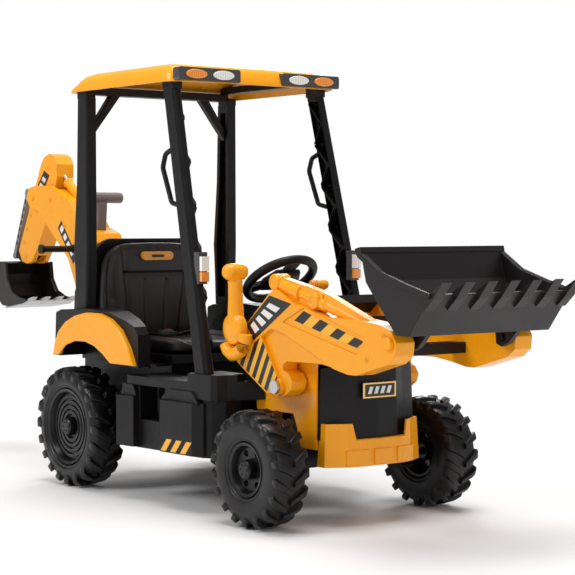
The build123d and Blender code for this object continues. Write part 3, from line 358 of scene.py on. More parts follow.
def lens(name, colour, glow, ribs_scale):
    """Moulded lamp lens with prism ribs, over a pale reflector; a faint emission of the lens colour paints
    the reflector's glow.
    """
    material, nodes, links, shader = node_material(name)
    ribs = add_cells(nodes, links, ribs_scale, "ShaderNodeTexWave")
    ramp = add_ramp(nodes, links, ribs.outputs["Fac"], [c * 0.72 for c in colour], colour)
    links.new(ramp.outputs["Color"], shader.inputs["Base Color"])
    shader.inputs["Roughness"].default_value = 0.12
    shader.inputs["Coat Weight"].default_value = 0.8
    # painted glow: the lens colour is also given out as light, at strength `glow`
    links.new(ramp.outputs["Color"], shader.inputs["Emission Color"])
    shader.inputs["Emission Strength"].default_value = glow
    links.new(add_bump(nodes, links, ribs.outputs["Fac"], 0.5, 0.001), shader.inputs["Normal"])
    return material


YELLOW = (0.95, 0.375, 0.004)
# one material for each slot of the record
M = {
    "body_yellow": moulded("yellow_gloss", YELLOW, 0.29, grain=0.05, edge=2.2, specular=0.38, coat=0.12,
                           vary=0.04),
    "black_plastic": moulded("black_textured", (0.005, 0.0042, 0.0048), 0.36, grain=0.40,
                             grain_scale=1300.0, edge=2.0, specular=0.26, dimples=True),
    "bucket_black": moulded("bucket_black", (0.011, 0.0085, 0.0085), 0.36, grain=0.35,
                            grain_scale=1100.0, edge=2.0, specular=0.36, dimples=True),
    "tyre_plastic": moulded("tyre_plastic", (0.004, 0.0033, 0.0037), 0.34, grain=0.25, edge=1.6,
                            specular=0.36),
    "rim_plastic": moulded("rim_plastic", (0.005, 0.0043, 0.0047), 0.32, grain=0.2, edge=1.4,
                           specular=0.38),
    "grey_plastic": moulded("grey_plastic", (0.20, 0.19, 0.18), 0.42, grain=0.2, edge=1.2),
    "handle_taupe": moulded("handle_taupe", (0.17, 0.135, 0.13), 0.45, grain=0.3, edge=1.5),
    "lamp_black": moulded("lamp_black", (0.05, 0.047, 0.05), 0.25, grain=0.1, edge=1.5, coat=0.3),
    # lamp lenses: their faint emission (0.12 and 0.10) is painted glow
    "lens_clear": lens("lens_clear", (0.86, 0.84, 0.80), 0.12, 60.0),
    "lens_amber": lens("lens_amber", (0.93, 0.30, 0.03), 0.10, 60.0),
    "button_red": moulded("button_red", (0.55, 0.03, 0.02), 0.25, edge=0.8, coat=0.4),
    "battery_case": moulded("battery_case", (0.03, 0.03, 0.04), 0.45, grain=0.2, edge=1.2),
    "seat_vinyl": vinyl("seat_vinyl", (0.014, 0.0105, 0.0105)),
    "webbing": webbing("webbing", (0.02, 0.02, 0.02)),
    "edge_silver": moulded("edge_silver", (0.42, 0.41, 0.42), 0.34, grain=0.15, edge=1.0, specular=0.8),
    "steel": metal("zinc_steel", (0.62, 0.62, 0.64), 0.28),
}
DECAL_BLACK = moulded("decal_black", (0.012, 0.011, 0.011), 0.30, edge=0.4)
DECAL_YELLOW = moulded("decal_yellow", (0.90, 0.46, 0.03), 0.30, edge=0.4, vary=0.03)
DECAL_WHITE = moulded("decal_white", (0.80, 0.79, 0.76), 0.30, edge=0.4, vary=0.03)
DECALS = {
    # colour: slot and material
    "black": ("black_plastic", DECAL_BLACK), "yellow": ("body_yellow", DECAL_YELLOW),
    "white": ("lens_clear", DECAL_WHITE),
}
BADGE_ORANGE = moulded("badge_orange", (0.93, 0.40, 0.05), 0.28, edge=0.8, vary=0.05)
BADGE_GOLD = metal("badge_gold", (0.86, 0.58, 0.22), 0.22)


SOFT_EDGES = {
    # node: radius of its moulded edges in millimetres
    "side_body_right": 3.5, "side_body_left": 3.5, "fender_cover_right": 6.0, "fender_cover_left": 6.0,
    "fender_panel_right": 3.0, "fender_panel_left": 3.0, "front_pillar_right": 1.5,
    "front_pillar_left": 1.5, "rear_pillar_right": 2.5, "rear_pillar_left": 2.5, "front_bumper": 2.0,
    "bonnet_cowl": 2.5, "dash_console": 3.0, "loader_arm_right": 2.2, "loader_arm_left": 2.2,
    "loader_bucket": 2.0, "arm_crossbars": 2.0, "boom": 2.5, "dipper": 2.2, "kingpost": 2.0,
    "backhoe_mount": 2.5, "digger_bucket": 1.8, "chassis_tub": 2.0,
    "front_axle_beam": 1.5, "steering_wheel": 1.5, "cutting_edge": 0.6,
}


def soften_cad():
    """Round the moulded edges of the CAD nodes: flat faces are joined up, then their edges bevelled."""
    for name, radius in SOFT_EDGES.items():
        node = NODES[name]
        flat = node.modifiers.new("join_flat_faces", "DECIMATE")
        flat.decimate_type = "DISSOLVE"
        flat.angle_limit = math.radians(0.6)
        edge = node.modifiers.new("moulded_edges", "BEVEL")
        edge.width = radius * MM
        edge.segments = 3
        edge.limit_method = "ANGLE"
        edge.angle_limit = math.radians(32)


def paint_cad():
    """Give every CAD node its slot's material."""
    for subpart in frame["record"]["subparts"]:
        node = NODES[subpart["node"]]
        node.data.materials.clear()
        node.data.materials.append(M[subpart["material_slot"]])
        node.data.shade_smooth()
        node.data.set_sharp_from_angle(angle=math.radians(32))


# ------------------------------------------------------------------ wheels
def tyre_carcass(bm, centre, hand, radius, rim_radius, half):
    """Revolved carcass with a bead, sidewall rings and a crowned tread base."""
    profile = [
        (-0.62, rim_radius - 1), (-0.86, rim_radius + 2), (-0.93, rim_radius + 6), (-0.89, rim_radius + 9),
        (-0.95, rim_radius + 12), (-0.97, 0.72 * radius), (-0.955, 0.80 * radius), (-0.90, 0.86 * radius),
        (-0.80, 0.905 * radius), (-0.60, 0.925 * radius), (-0.30, 0.935 * radius), (0.0, 0.938 * radius),
    ]
    profile += [(-share, ring) for share, ring in reversed(profile[:-1])]
    steps = 144
    loops = []
    for share, ring in profile:
        loop = []
        for k in range(steps):
            turn = 2 * math.pi * k / steps
            loop.append(bm.verts.new(centre + Vector(
                (math.cos(turn) * ring * MM, hand * share * half * MM, math.sin(turn) * ring * MM))))
        loops.append(loop)
    for lower, upper in zip(loops, loops[1:]):
        for k in range(steps):
            after = (k + 1) % steps
            bm.faces.new((lower[k], lower[after], upper[after], upper[k]))
    for k in range(steps):
        after = (k + 1) % steps
        bm.faces.new((loops[-1][k], loops[-1][after], loops[0][after], loops[0][k]))


def tyre_lug(bm, centre, side, start, radius, half, lean):
    """One tread lug: from the middle of the tread, over the shoulder and down the sidewall."""
    sections = [
        # outer (share of half width, share of radius), inner likewise, turn forward, width
        ((0.03, 1.0), (0.03, 0.90), 0.00, 0.115),
        ((0.34, 1.0), (0.34, 0.90), 0.36, 0.125),
        ((0.66, 0.997), (0.62, 0.89), 0.68, 0.145),
        ((0.90, 0.975), (0.76, 0.87), 0.88, 0.165),
        ((1.00, 0.93), (0.84, 0.84), 1.00, 0.170),
        ((1.00, 0.86), (0.88, 0.80), 1.06, 0.150),
        ((0.975, 0.81), (0.90, 0.77), 1.08, 0.120),
    ]
    rings = []
    for (outer_y, outer_r), (inner_y, inner_r), forward, width in sections:
        turn = start + lean * forward
        ring = []
        for (share_y, share_r), spread in (
            ((inner_y, inner_r), -0.60), ((outer_y, outer_r), -0.40),
            ((outer_y, outer_r), 0.40), ((inner_y, inner_r), 0.60),
        ):
            angle = turn + spread * width
            ring.append(centre + Vector((
                math.cos(angle) * share_r * radius * MM,
                side * share_y * half * MM,
                math.sin(angle) * share_r * radius * MM,
            )))
        rings.append(ring)
    add_rings(bm, rings)


def make_tyre(node, joint, radius, rim_radius, lugs, lean):
    """Tractor tyre with alternating lugs, standing for a CAD tyre."""
    low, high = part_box(node)
    wheel = Vector(JOINTS[joint]["pos_m"])
    half = (high.y - low.y) / 2 / MM - 0.4
    centre = Vector((wheel.x, (low.y + high.y) / 2, wheel.z))
    hand = 1 if centre.y > 0 else -1
    bm = bmesh.new()
    tyre_carcass(bm, centre, hand, radius, rim_radius, half)
    for index in range(lugs):
        step = 2 * math.pi / lugs
        ground = -math.pi / 2
        tyre_lug(bm, centre, 1, ground + index * step, radius, half, lean)
        tyre_lug(bm, centre, -1, ground + (index + 0.5) * step, radius, half, lean)
    body = NODES[node]["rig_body"]
    piece = finish_piece(bm, node + "_tread", body, M["tyre_plastic"], bevel=1.6)
    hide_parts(node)


def make_wheels():
    for side in ("right", "left"):
        make_tyre("front_tyre_" + side, f"front_wheel_{side}_spin", 130.0, 60.0, 18, 0.20)
        make_tyre("rear_tyre_" + side, f"rear_wheel_{side}_spin", 152.0, 96.0, 20, 0.18)


# ------------------------------------------------------------------ seat
def superellipse(half_x, half_z, power, steps):
    """Rounded rectangle outline as (x, z) pairs."""
    ring = []
    for k in range(steps):
        turn = 2 * math.pi * k / steps
        c, s = math.cos(turn), math.sin(turn)
        ring.append((half_x * math.copysign(abs(c) ** (2 / power), c),
                     half_z * math.copysign(abs(s) ** (2 / power), s)))
    return ring


def remesh(bm, name, voxel):
    """Temporary object of a bmesh with an even voxel mesh."""
    bmesh.ops.recalc_face_normals(bm, faces=bm.faces)
    mesh = bpy.data.meshes.new(name)
    bm.to_mesh(mesh)
    bm.free()
    piece = bpy.data.objects.new(name, mesh)
    bpy.context.scene.collection.objects.link(piece)
    modifier = piece.modifiers.new("remesh", "REMESH")
    modifier.mode = "VOXEL"
    modifier.voxel_size = voxel
    apply_modifiers(piece)
    return piece


def apply_modifiers(piece):
    """Replace a piece's mesh by what its modifiers make of it."""
    depsgraph = bpy.context.evaluated_depsgraph_get()
    depsgraph.update()
    mesh = bpy.data.meshes.new_from_object(piece.evaluated_get(depsgraph))
    piece.modifiers.clear()
    old = piece.data
    piece.data = mesh
    bpy.data.meshes.remove(old)


SETTLE_FRAMES = 20


def inflate(piece, pressure, cap):
    """Cloth simulation of a filled cover: it swells by at most `cap` metres."""
    rest = [vertex.co.copy() for vertex in piece.data.vertices]
    cloth = piece.modifiers.new("cloth", "CLOTH")
    cloth.settings.use_pressure = True
    cloth.settings.uniform_pressure_force = pressure
    cloth.settings.quality = 5
    cloth.settings.mass = 0.3
    cloth.settings.tension_stiffness = 25
    cloth.settings.compression_stiffness = 25
    cloth.settings.bending_stiffness = 1.5
    cloth.settings.effector_weights.gravity = 0
    cloth.collision_settings.use_collision = False
    scene = bpy.context.scene
    for step in range(1, SETTLE_FRAMES + 1):
        scene.frame_set(step)
    depsgraph = bpy.context.evaluated_depsgraph_get()
    swollen = piece.evaluated_get(depsgraph).to_mesh()
    moved = [vertex.co.copy() for vertex in swollen.vertices]
    piece.evaluated_get(depsgraph).to_mesh_clear()
    piece.modifiers.clear()
    scene.frame_set(1)
    for vertex, start, end in zip(piece.data.vertices, rest, moved):
        shift = end - start
        if shift.length > cap:
            shift = shift.normalized() * cap
        vertex.co = start + shift


def groove(depth, distance, width):
    """Depth of a sewn channel at a distance from its line."""
    return depth * math.exp(-((distance / width) ** 2))


BACK_WIDTH = 162.0
BACK_LOW, BACK_HIGH = 352.0, 626.0


def back_panel_half(z):
    """Half width of the sewn middle panel of the backrest at a height."""
    share = (z - BACK_LOW) / (BACK_HIGH - BACK_LOW)
    return 72.0 + 34.0 * share


def make_backrest():
    """Backrest pad: side bolsters, a head band and a middle panel with two sewn channels."""
    bm = bmesh.new()
    rings = []
    depth_steps = 9
    for k in range(depth_steps):
        share = k / (depth_steps - 1)
        swell = math.sin(math.pi * (0.12 + 0.76 * share)) ** 0.45
        half_x = (BACK_WIDTH - 5) * (0.94 + 0.06 * swell)
        half_z = 132.0 * (0.94 + 0.06 * swell)
        middle_z = (BACK_LOW + BACK_HIGH) / 2
        ring = []
        for y, dz in superellipse(half_x, half_z, 4.2, 72):
            z = middle_z + dz
            lean = (z - BACK_LOW) * 0.085
            back = -70.0 + lean
            front = -20.0 + lean * 0.15
            ring.append(place(back + (front - back) * share, y, z))
        rings.append(ring)
    add_rings(bm, rings)
    piece = remesh(bm, "backrest_cover", 0.005)
    # bolsters stand forward of the middle before the cover is filled
    for vertex in piece.data.vertices:
        y, z = vertex.co.y / MM, vertex.co.z / MM
        station = (vertex.co.x - REAR_AXLE_X) / MM
        if station > -38:
            side = max(0.0, abs(y) - back_panel_half(z) - 4)
            vertex.co.x += MM * (6.0 * min(1.0, side / 18.0) - 4.0)
    inflate(piece, 3.5, 0.004)
    subdivide_and_sew(piece, back_seams)
    dress_pad(piece, "seat_back_pad")


def back_seams(station, y, z):
    """Sewn channels of the backrest: how far this point is pulled back."""
    if station < -34:
        return Vector((0, 0, 0))
    pull = 0.0
    band = 536.0
    panel = back_panel_half(z)
    if z < band + 6:
        pull += groove(5.0, abs(y) - panel, 5.0)
        if z < band - 14:
            pull += groove(3.6, abs(y) - 0.36 * panel, 4.0)
    if abs(y) < panel + 4:
        pull += groove(4.4, z - band, 5.0)
        pull += groove(4.0, z - 606.0, 5.0) * 0.6
    if z >= band:
        pull += groove(4.2, abs(y) - panel, 5.0)
    return Vector((-pull * MM, 0, 0))


def make_cushion():
    """Seat cushion with raised sides and a rounded front edge."""
    bm = bmesh.new()
    rings = []
    for k in range(9):
        share = k / 8
        swell = math.sin(math.pi * (0.15 + 0.70 * share)) ** 0.5
        half_y = (BACK_WIDTH - 5) * (0.95 + 0.05 * swell)
        half_x = 154.0 * (0.95 + 0.05 * swell)
        ring = []
        for dx, y in superellipse(half_x, half_y, 6.0, 72):
            station = 147.0 + dx
            ring.append(place(station, y, 353.0 + 20.0 * share))
        rings.append(ring)
    add_rings(bm, rings)
    piece = remesh(bm, "cushion_cover", 0.005)
    for vertex in piece.data.vertices:
        y, z = vertex.co.y / MM, vertex.co.z / MM
        station = (vertex.co.x - REAR_AXLE_X) / MM
        if z > 362:
            side = max(0.0, abs(y) - 104.0)
            lift = 9.0 * min(1.0, side / 26.0)
            hollow = -4.0 * math.exp(-((y / 80.0) ** 2)) * math.exp(-(((station - 130.0) / 110.0) ** 2))
            vertex.co.z += MM * (lift + hollow)
    inflate(piece, 3.5, 0.0035)
    subdivide_and_sew(piece, cushion_seams)
    dress_pad(piece, "seat_cushion")


def cushion_seams(station, y, z):
    """Sewn channels of the cushion: how far this point is pulled down."""
    if z < 362:
        return Vector((0, 0, 0))
    pull = 0.0
    if 20 < station < 292:
        pull += groove(4.0, abs(y) - 100.0, 4.5)
        if station < 250:
            pull += groove(3.0, abs(y) - 30.0, 4.0)
    if abs(y) < 104:
        pull += groove(3.4, station - 254.0, 4.5)
    return Vector((0, 0, -pull * MM))


def subdivide_and_sew(piece, seams):
    """One subdivision, then the sewn channels pulled into the cover."""
    modifier = piece.modifiers.new("subdivision", "SUBSURF")
    modifier.levels = 1
    modifier.render_levels = 1
    apply_modifiers(piece)
    normals = [vertex.normal.copy() for vertex in piece.data.vertices]
    for vertex, normal in zip(piece.data.vertices, normals):
        station = (vertex.co.x - REAR_AXLE_X) / MM
        y, z = vertex.co.y / MM, vertex.co.z / MM
        ripple = noise.noise(Vector((station * 0.020, y * 0.020, z * 0.020))) * 0.5
        vertex.co += seams(station, y, z) + normal * ripple * MM


def dress_pad(piece, node):
    """Finish a padded piece and let it stand for its CAD solid."""
    piece.data.materials.clear()
    piece.data.materials.append(M["seat_vinyl"])
    piece.data.shade_smooth()
    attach(piece, "chassis")
    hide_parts(node)


# ------------------------------------------------------------------ roof
ROOF_LEVELS = (
    # height, then how far the rear, the sides and the front have drawn in
    (1000, 0, 0, 0), (1008, 6, 0.5, 1), (1016, 24, 2, 4), (1028, 46, 5, 9), (1037, 62, 12, 16),
    (1043, 80, 26, 30), (1047, 112, 60, 62), (1049.5, 160, 120, 110), (1050, 200, 190, 180),
)
ROOF_WALL = 4.0


def roof_ring(height, rear, side, front):
    """Outline of the roof at a height: rounded corners and a bowed front edge."""
    back, fore, half = -56.0 + rear, 448.0 - front, 252.0 - side
    ring = []
    for dx, y in superellipse((fore - back) / 2, half, 13, 120):
        bow = 12.0 * (y / 252.0) ** 2 * max(0.0, dx) / ((fore - back) / 2)
        ring.append(place((fore + back) / 2 + dx - bow, y, height))
    return ring


def make_roof():
    """Roof moulding: drawn-in rear, crowned top and a hollow underside."""
    outside = [roof_ring(*level) for level in ROOF_LEVELS]
    inside = [roof_ring(height - (ROOF_WALL if index else 0), rear + ROOF_WALL, side + ROOF_WALL,
                        front + ROOF_WALL)
              for index, (height, rear, side, front) in enumerate(ROOF_LEVELS)]
    bm = bmesh.new()
    add_rings(bm, list(reversed(inside)) + outside)
    piece = finish_piece(bm, "roof_moulding", "chassis", M["body_yellow"], angle=50.0)
    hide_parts("roof_shell")


def add_block(bm, low, high):
    """Box between two (station, y, z) corners in millimetres."""
    add_rings(bm, [[place(low[0], low[1], z), place(high[0], low[1], z), place(high[0], high[1], z),
                    place(low[0], high[1], z)] for z in (low[2], high[2])])


HEAD_LEVEL = 975.0       # a pillar's head is what lies above this
POST_BASE = 984
POST_REAR = -46          # posts stay forward of this and inside this half width
POST_HALF = 243


def pillar_head(node):
    """Least and greatest station and y of a pillar's top."""
    heads = [vertex.co for vertex in NODES[node].data.vertices if vertex.co.z > HEAD_LEVEL * MM]
    stations = [(point.x - REAR_AXLE_X) / MM for point in heads]
    spread = [point.y / MM for point in heads]
    return min(stations), max(stations), min(spread), max(spread)


def make_roof_bars():
    """Bars inside the roof: posts on the pillars' heads, rails, rear arch and braces."""
    bm = bmesh.new()
    for side, hand in SIDES:
        for pillar, top in (("front_pillar_", 1028), ("rear_pillar_", 1003)):
            rear, front, low_y, high_y = pillar_head(pillar + side)
            low_y, high_y = max(low_y, -POST_HALF), min(high_y, POST_HALF)
            add_block(bm, (max(rear, POST_REAR), low_y, POST_BASE), (front, high_y, top))
        y0, y1 = sorted((hand * 196, hand * 222))
        add_block(bm, (0, y0, 1014), (420, y1, 1032))
        brace = [(120, 1000), (150, 1000), (206, 918), (206, 890)]
        add_rings(bm, [[place(x, hand * y, z) for y, z in brace] for x in (-10, 10)])
    add_block(bm, (-18, -212, 994), (18, 212, 1014))
    piece = finish_piece(bm, "roof_bars", "chassis", M["black_plastic"], bevel=2.0)
    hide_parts("roof_frame")


# ------------------------------------------------------------------ decals and small pieces
ARM_FACE = 195.0         # outer face of a loader arm
CHANNEL_FACE = 192.0     # floor of the striped band's channel in it
DECAL = 0.6              # how far a decal stands proud


def finish_decal(bm, name, body, colour):
    """Turn a bmesh into a flat label piece."""
    slot, material = DECALS[colour]
    finish_piece(bm, name, body, material, smooth=False)


def plate(bm, points, hand, face, proud=DECAL):
    """Thin plate on a side face, at a distance from the middle."""
    add_prism(bm, points, hand * (face - 0.5), hand * (face + proud))


def slice_band(lower, upper, pieces, chosen):
    """Quads cut from a band between two edges, by share of its length."""
    def between(edge, share):
        return tuple(a + (b - a) * share for a, b in zip(*edge))
    return [
        [between(lower, k / pieces), between(lower, (k + 1) / pieces),
         between(upper, (k + 1) / pieces), between(upper, k / pieces)]
        for k in chosen
    ]


BAR_LOW, BAR_HIGH = 0.22, 0.78       # bars' ends, as shares of a label's width


def bars(lower, upper, count, fill, margin):
    """Plain slanted bars inside a band, that stand where the real label has its mark."""
    quads = []
    for k in range(count):
        start = margin + (1 - 2 * margin) * k / count
        end = start + (1 - 2 * margin) * fill / count
        corners = []
        for share, rise in ((start, BAR_LOW), (end, BAR_LOW), (end, BAR_HIGH), (start, BAR_HIGH)):
            low = [a + (b - a) * share for a, b in zip(*lower)]
            high = [a + (b - a) * share for a, b in zip(*upper)]
            corners.append(tuple(a + (b - a) * rise for a, b in zip(low, high)))
        quads.append(corners)
    return quads


HAZARD_PANEL = [(617, 354), (709, 414), (770, 324), (733, 292)]
ARM_LABEL = [(655, 438), (741, 507), (820, 491), (682, 404)]
BAND_LOWER = ((828, 455), (1040, 407))
BAND_UPPER = ((860, 477), (1062, 421))


BAND_PIECES = 7


def make_arm_decals():
    """Hazard panel, plain black label and striped band on each loader arm."""
    for side, hand in SIDES:
        bm = bmesh.new()
        plate(bm, HAZARD_PANEL, hand, ARM_FACE, 0.4)
        for quad in slice_band(BAND_LOWER, BAND_UPPER, BAND_PIECES, (1, 3, 5)):
            plate(bm, quad, hand, CHANNEL_FACE)
        finish_decal(bm, "arm_stripes_yellow_" + side, "loader", "yellow")
        bm = bmesh.new()
        plate(bm, ARM_LABEL, hand, ARM_FACE)
        for band in stripes(HAZARD_PANEL, 63, 26, 13):
            plate(bm, band, hand, ARM_FACE)
        for quad in slice_band(BAND_LOWER, BAND_UPPER, BAND_PIECES, (0, 2, 4, 6)):
            plate(bm, quad, hand, CHANNEL_FACE)
        finish_decal(bm, "arm_stripes_black_" + side, "loader", "black")
        bm = bmesh.new()
        label_lower = (ARM_LABEL[3], ARM_LABEL[2])
        label_upper = (ARM_LABEL[0], ARM_LABEL[1])
        for quad in bars(label_lower, label_upper, 4, 0.62, 0.10):
            plate(bm, quad, hand, ARM_FACE, 1.0)
        finish_decal(bm, "arm_label_bars_" + side, "loader", "white")


RAM_Y = 170.0
KNUCKLE_Y = 152.0


def make_arm_rams():
    """Moulded ram lying along the top of each loader arm, with its two knuckles."""
    for side, hand in SIDES:
        bm = bmesh.new()
        y = hand * RAM_Y
        rear, middle, front = place(742, y, 536), place(886, y, 500), place(1078, y, 446)
        forward = middle - rear
        length = forward.length / MM
        add_lathe(bm, rear, forward, [
            (-8, 0), (-8, 10), (-4, 15), (6, 16), (10, 19), (14, 20), (20, 20), (22, 17.5),
            (length * 0.55, 17.5), (length * 0.55 + 1.5, 20), (length * 0.55 + 9, 20),
            (length * 0.55 + 11, 14), (length - 8, 14), (length - 4, 18), (length + 6, 18), (length + 9, 0),
        ], steps=32)
        forward = front - middle
        length = forward.length / MM
        add_lathe(bm, middle, forward, [
            (0, 0), (0, 13), (6, 17), (34, 17), (38, 14), (length - 30, 13), (length - 6, 9), (length, 0),
        ], steps=32)
        for station, z, radius in ((748, 536, 19), (888, 500, 18)):
            add_lathe(bm, place(station, hand * KNUCKLE_Y, z), (0, hand, 0), [
                (0, 0), (0, radius), (35, radius), (38, radius - 3), (38, radius - 7), (36, radius - 8),
                (36, 0)], steps=36)
        finish_piece(bm, "arm_ram_" + side, "loader", M["body_yellow"], bevel=0.8)


def make_lever():
    """Lever with a round T knob, a stem, a domed hub and its elbow."""
    bm = bmesh.new()
    add_lathe(bm, place(627, -228, 557), (0, 1, 0), [
        (-11, 0), (-10, 8), (-6, 14), (0, 18), (8, 19.5), (34, 19.5), (42, 18), (48, 14), (52, 8), (53, 0),
    ], steps=40)
    add_lathe(bm, place(627, -207, 552), (0.0, 0.02, -1), [
        (0, 0), (0, 15), (14, 16), (17, 17.5), (21, 16.5), (60, 17), (96, 19), (110, 19), (110, 0),
    ], steps=36)
    add_lathe(bm, place(628, -198, 428), (0, -1, 0), [
        (0, 0), (0, 35), (16, 36), (20, 34), (22, 30), (24, 26), (24.5, 12), (25, 0),
    ], steps=56)
    elbow = [place(672, -210, 418), place(670, -211, 400), place(660, -212, 384), place(644, -212, 373),
             place(624, -212, 370), place(608, -212, 378), place(600, -212, 392)]
    add_tube(bm, elbow, 16, steps=20)
    piece = finish_piece(bm, "lever_moulding", "loader", M["body_yellow"], bevel=1.0)
    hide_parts("loader_lever")


def make_wheel_pad():
    """Broad pad round the steering wheel's hub, turning with the wheel."""
    axis = Vector(JOINTS["steering_turn"]["axis"]).normalized()
    hub = Vector(JOINTS["steering_turn"]["pos_m"])
    side = Vector((0, 1, 0))
    fore = side.cross(axis).normalized()
    bm = bmesh.new()
    add_rings(bm, [
        [hub + (side * y * grow + fore * along * grow + axis * rise) * MM
         for y, along in ((-46, -34), (46, -34), (54, 0), (34, 40), (-34, 40), (-54, 0))]
        for rise, grow in ((-12, 0.86), (-8, 0.98), (1, 1.0), (4.5, 0.9))
    ])
    finish_piece(bm, "wheel_pad", "steering_wheel", M["black_plastic"], bevel=1.5)


def make_arm_caps():
    """Cups over the ends of the bucket's pins, on the loader arms' faces."""
    pivot = JOINTS["bucket_tilt"]["pos_m"]
    bm = bmesh.new()
    for _, hand in SIDES:
        add_lathe(bm, Vector((pivot[0], hand * 194.6 * MM, pivot[2])), (0, hand, 0), [
            (9.0, 0), (9.0, 11), (0, 11), (0, 14), (8.5, 14), (10.2, 12), (10.2, 0)], steps=40)
    finish_piece(bm, "arm_pin_caps", "loader", M["body_yellow"], bevel=0.6)


def make_bucket_bolts():
    """Bolt heads on the bucket's ears."""
    bm = bmesh.new()
    for hand in (-1, 1):
        add_lathe(bm, place(1132, hand * 135.5, 462), (0, hand, 0), [
            (0, 0), (0, 8), (3, 8), (4.5, 6), (5, 3), (5, 0)], steps=24)
    finish_piece(bm, "bucket_ear_bolts", "loader_bucket", M["steel"], bevel=0.4)


def make_crossbar_grip():
    """Small grip across the rear crossbar: a body on its foot, and an amber end cap."""
    centre = place(675, -10, 525)
    bm = bmesh.new()
    add_lathe(bm, centre, (0, 1, 0), [(0, 0), (0, 9.5), (3, 11), (26, 11), (30, 9.5), (30, 0)], steps=36)
    add_prism(bm, [(667, 496), (683, 496), (681, 516), (669, 516)], -10, 12)
    finish_piece(bm, "crossbar_grip", "loader", M["body_yellow"], bevel=0.5)
    bm = bmesh.new()
    add_lathe(bm, centre, (0, 1, 0), [
        (-16, 0), (-16, 8.5), (-13, 11.5), (-1, 11.8), (0, 11), (0, 0)], steps=36)
    # the amber cap takes the lens material, so it carries the same faint painted glow, though it is no lamp
    finish_piece(bm, "crossbar_grip_cap", "loader", M["lens_amber"], bevel=0.5)


BADGE_FACE = 888.5       # station of the grille's badge
BADGE_HALF = 46.0
BADGE_LOW, BADGE_HIGH = 281.0, 313.0


def badge_ring(station, grow):
    """Rectangle of the grille badge at a station, grown by a margin."""
    half, low, high = BADGE_HALF + grow, BADGE_LOW - grow, BADGE_HIGH + grow
    return [place(station, -half, low), place(station, half, low), place(station, half, high),
            place(station, -half, high)]


def make_grille_badge():
    """Framed plate on the grille, with plain bars."""
    bm = bmesh.new()
    add_rings(bm, [badge_ring(BADGE_FACE + depth, grow)
                   for depth, grow in ((0, 2), (2.6, 1), (2.6, -2.5), (1.0, -3.2))], cap_end=False)
    finish_piece(bm, "grille_badge_frame", "chassis", BADGE_GOLD, bevel=0.4)
    bm = bmesh.new()
    add_rings(bm, [badge_ring(BADGE_FACE + depth, -3) for depth in (0, 1.4)])
    finish_decal(bm, "grille_badge_plate", "chassis", "black")
    bm = bmesh.new()
    for k in range(4):
        y = -27 + 18 * k
        add_rings(bm, [[place(x, y - 8, 289), place(x, y + 2, 289), place(x, y + 8, 305),
                        place(x, y - 2, 305)] for x in (BADGE_FACE + 1.2, BADGE_FACE + 2.2)])
    finish_decal(bm, "grille_badge_bars", "chassis", "white")


def make_seat_badge():
    """Pill-shaped badge on the seat back, with a plain bar."""
    for name, run, end_radius, depth, material, slot in (
        ("seat_badge", 38, 11.5, 2.4, BADGE_ORANGE, "lens_amber"),
        ("seat_badge_bar", 16, 4.0, 3.0, DECAL_BLACK, "black_plastic"),
    ):
        rings = []
        for along, inset in ((-6, 0), (depth - 0.8, 0), (depth, 0.8)):
            ring = []
            for k in range(40):
                turn = 2 * math.pi * k / 40
                radius = end_radius - inset
                y = math.copysign(run, math.cos(turn)) + radius * math.cos(turn)
                ring.append(place(-9.0 + along, y, 582.5 + radius * math.sin(turn)))
            rings.append(ring)
        bm = bmesh.new()
        add_rings(bm, rings)
        finish_piece(bm, name, "chassis", material)


POD_PLAN = ((406, 268), (420, 275), (542, 269), (562, 250))      # (station, distance out)
POD_BAR = ((0, 135), (20, 135), (44, 164), (24, 164))             # (station from its start, height)
POD_BAR_START, POD_BAR_PITCH = 422, 38


def pod_face(station):
    """Distance of the front pod's outer face from the middle."""
    for (rear, rear_face), (front, front_face) in zip(POD_PLAN, POD_PLAN[1:]):
        if station <= front:
            break
    return rear_face + (front_face - rear_face) * (station - rear) / (front - rear)


def make_pod_decals():
    """Three slanted hazard bars at the foot of each front pod."""
    for side, hand in SIDES:
        bm = bmesh.new()
        for k in range(3):
            start = POD_BAR_START + POD_BAR_PITCH * k
            rings = []
            for proud in (-0.6, 0.8):
                rings.append([place(start + x, hand * (pod_face(start + x) + proud), z)
                              for x, z in POD_BAR])
            add_rings(bm, rings)
        finish_decal(bm, "pod_stripes_" + side, "chassis", "yellow")


DIGGER_LABELS = (
    # body, distance of its side face from the middle, lower edge, upper edge
    ("dipper", 27.5, ((-632, 739), (-559, 820)), ((-600, 717), (-529, 805))),
    ("boom", 43.0, ((-455, 655), (-372, 556)), ((-436, 676), (-346, 570))),
)


def make_digger_decals():
    """Plain dark labels with pale bars on the dipper and the boom, both sides."""
    for body, face, lower, upper in DIGGER_LABELS:
        black, white = bmesh.new(), bmesh.new()
        for _, hand in SIDES:
            plate(black, [lower[0], upper[0], upper[1], lower[1]], hand, face)
            for quad in bars(lower, upper, 4, 0.6, 0.08):
                plate(white, quad, hand, face, 1.0)
        finish_decal(black, body + "_label", body, "black")
        finish_decal(white, body + "_label_bars", body, "white")


ROD_SHARE = 0.36         # of the ram's length


def make_digger_ram():
    """Ram between dipper and boom: the barrel rides on the boom, the rod on the dipper."""
    rod_end, barrel_end = place(-520, 0, 822), place(-352, 0, 700)
    along = barrel_end - rod_end
    length = along.length / MM
    bm = bmesh.new()
    rod = length * ROD_SHARE
    add_lathe(bm, rod_end, along, [(0, 0), (0, 7), (rod, 7), (rod, 0)], steps=24)
    finish_piece(bm, "digger_ram_rod", "dipper", M["steel"], bevel=0.5)
    bm = bmesh.new()
    add_lathe(bm, rod_end, along, [
        (62, 7.6), (62, 15), (64, 16), (70, 16), (72, 14), (length - 16, 14), (length - 8, 15),
        (length, 12), (length, 0)], steps=32)
    add_prism(bm, [(-372, 700), (-345, 716), (-322, 655), (-345, 655)], -9, 9)
    finish_piece(bm, "digger_ram_barrel", "boom", M["body_yellow"], bevel=0.8)


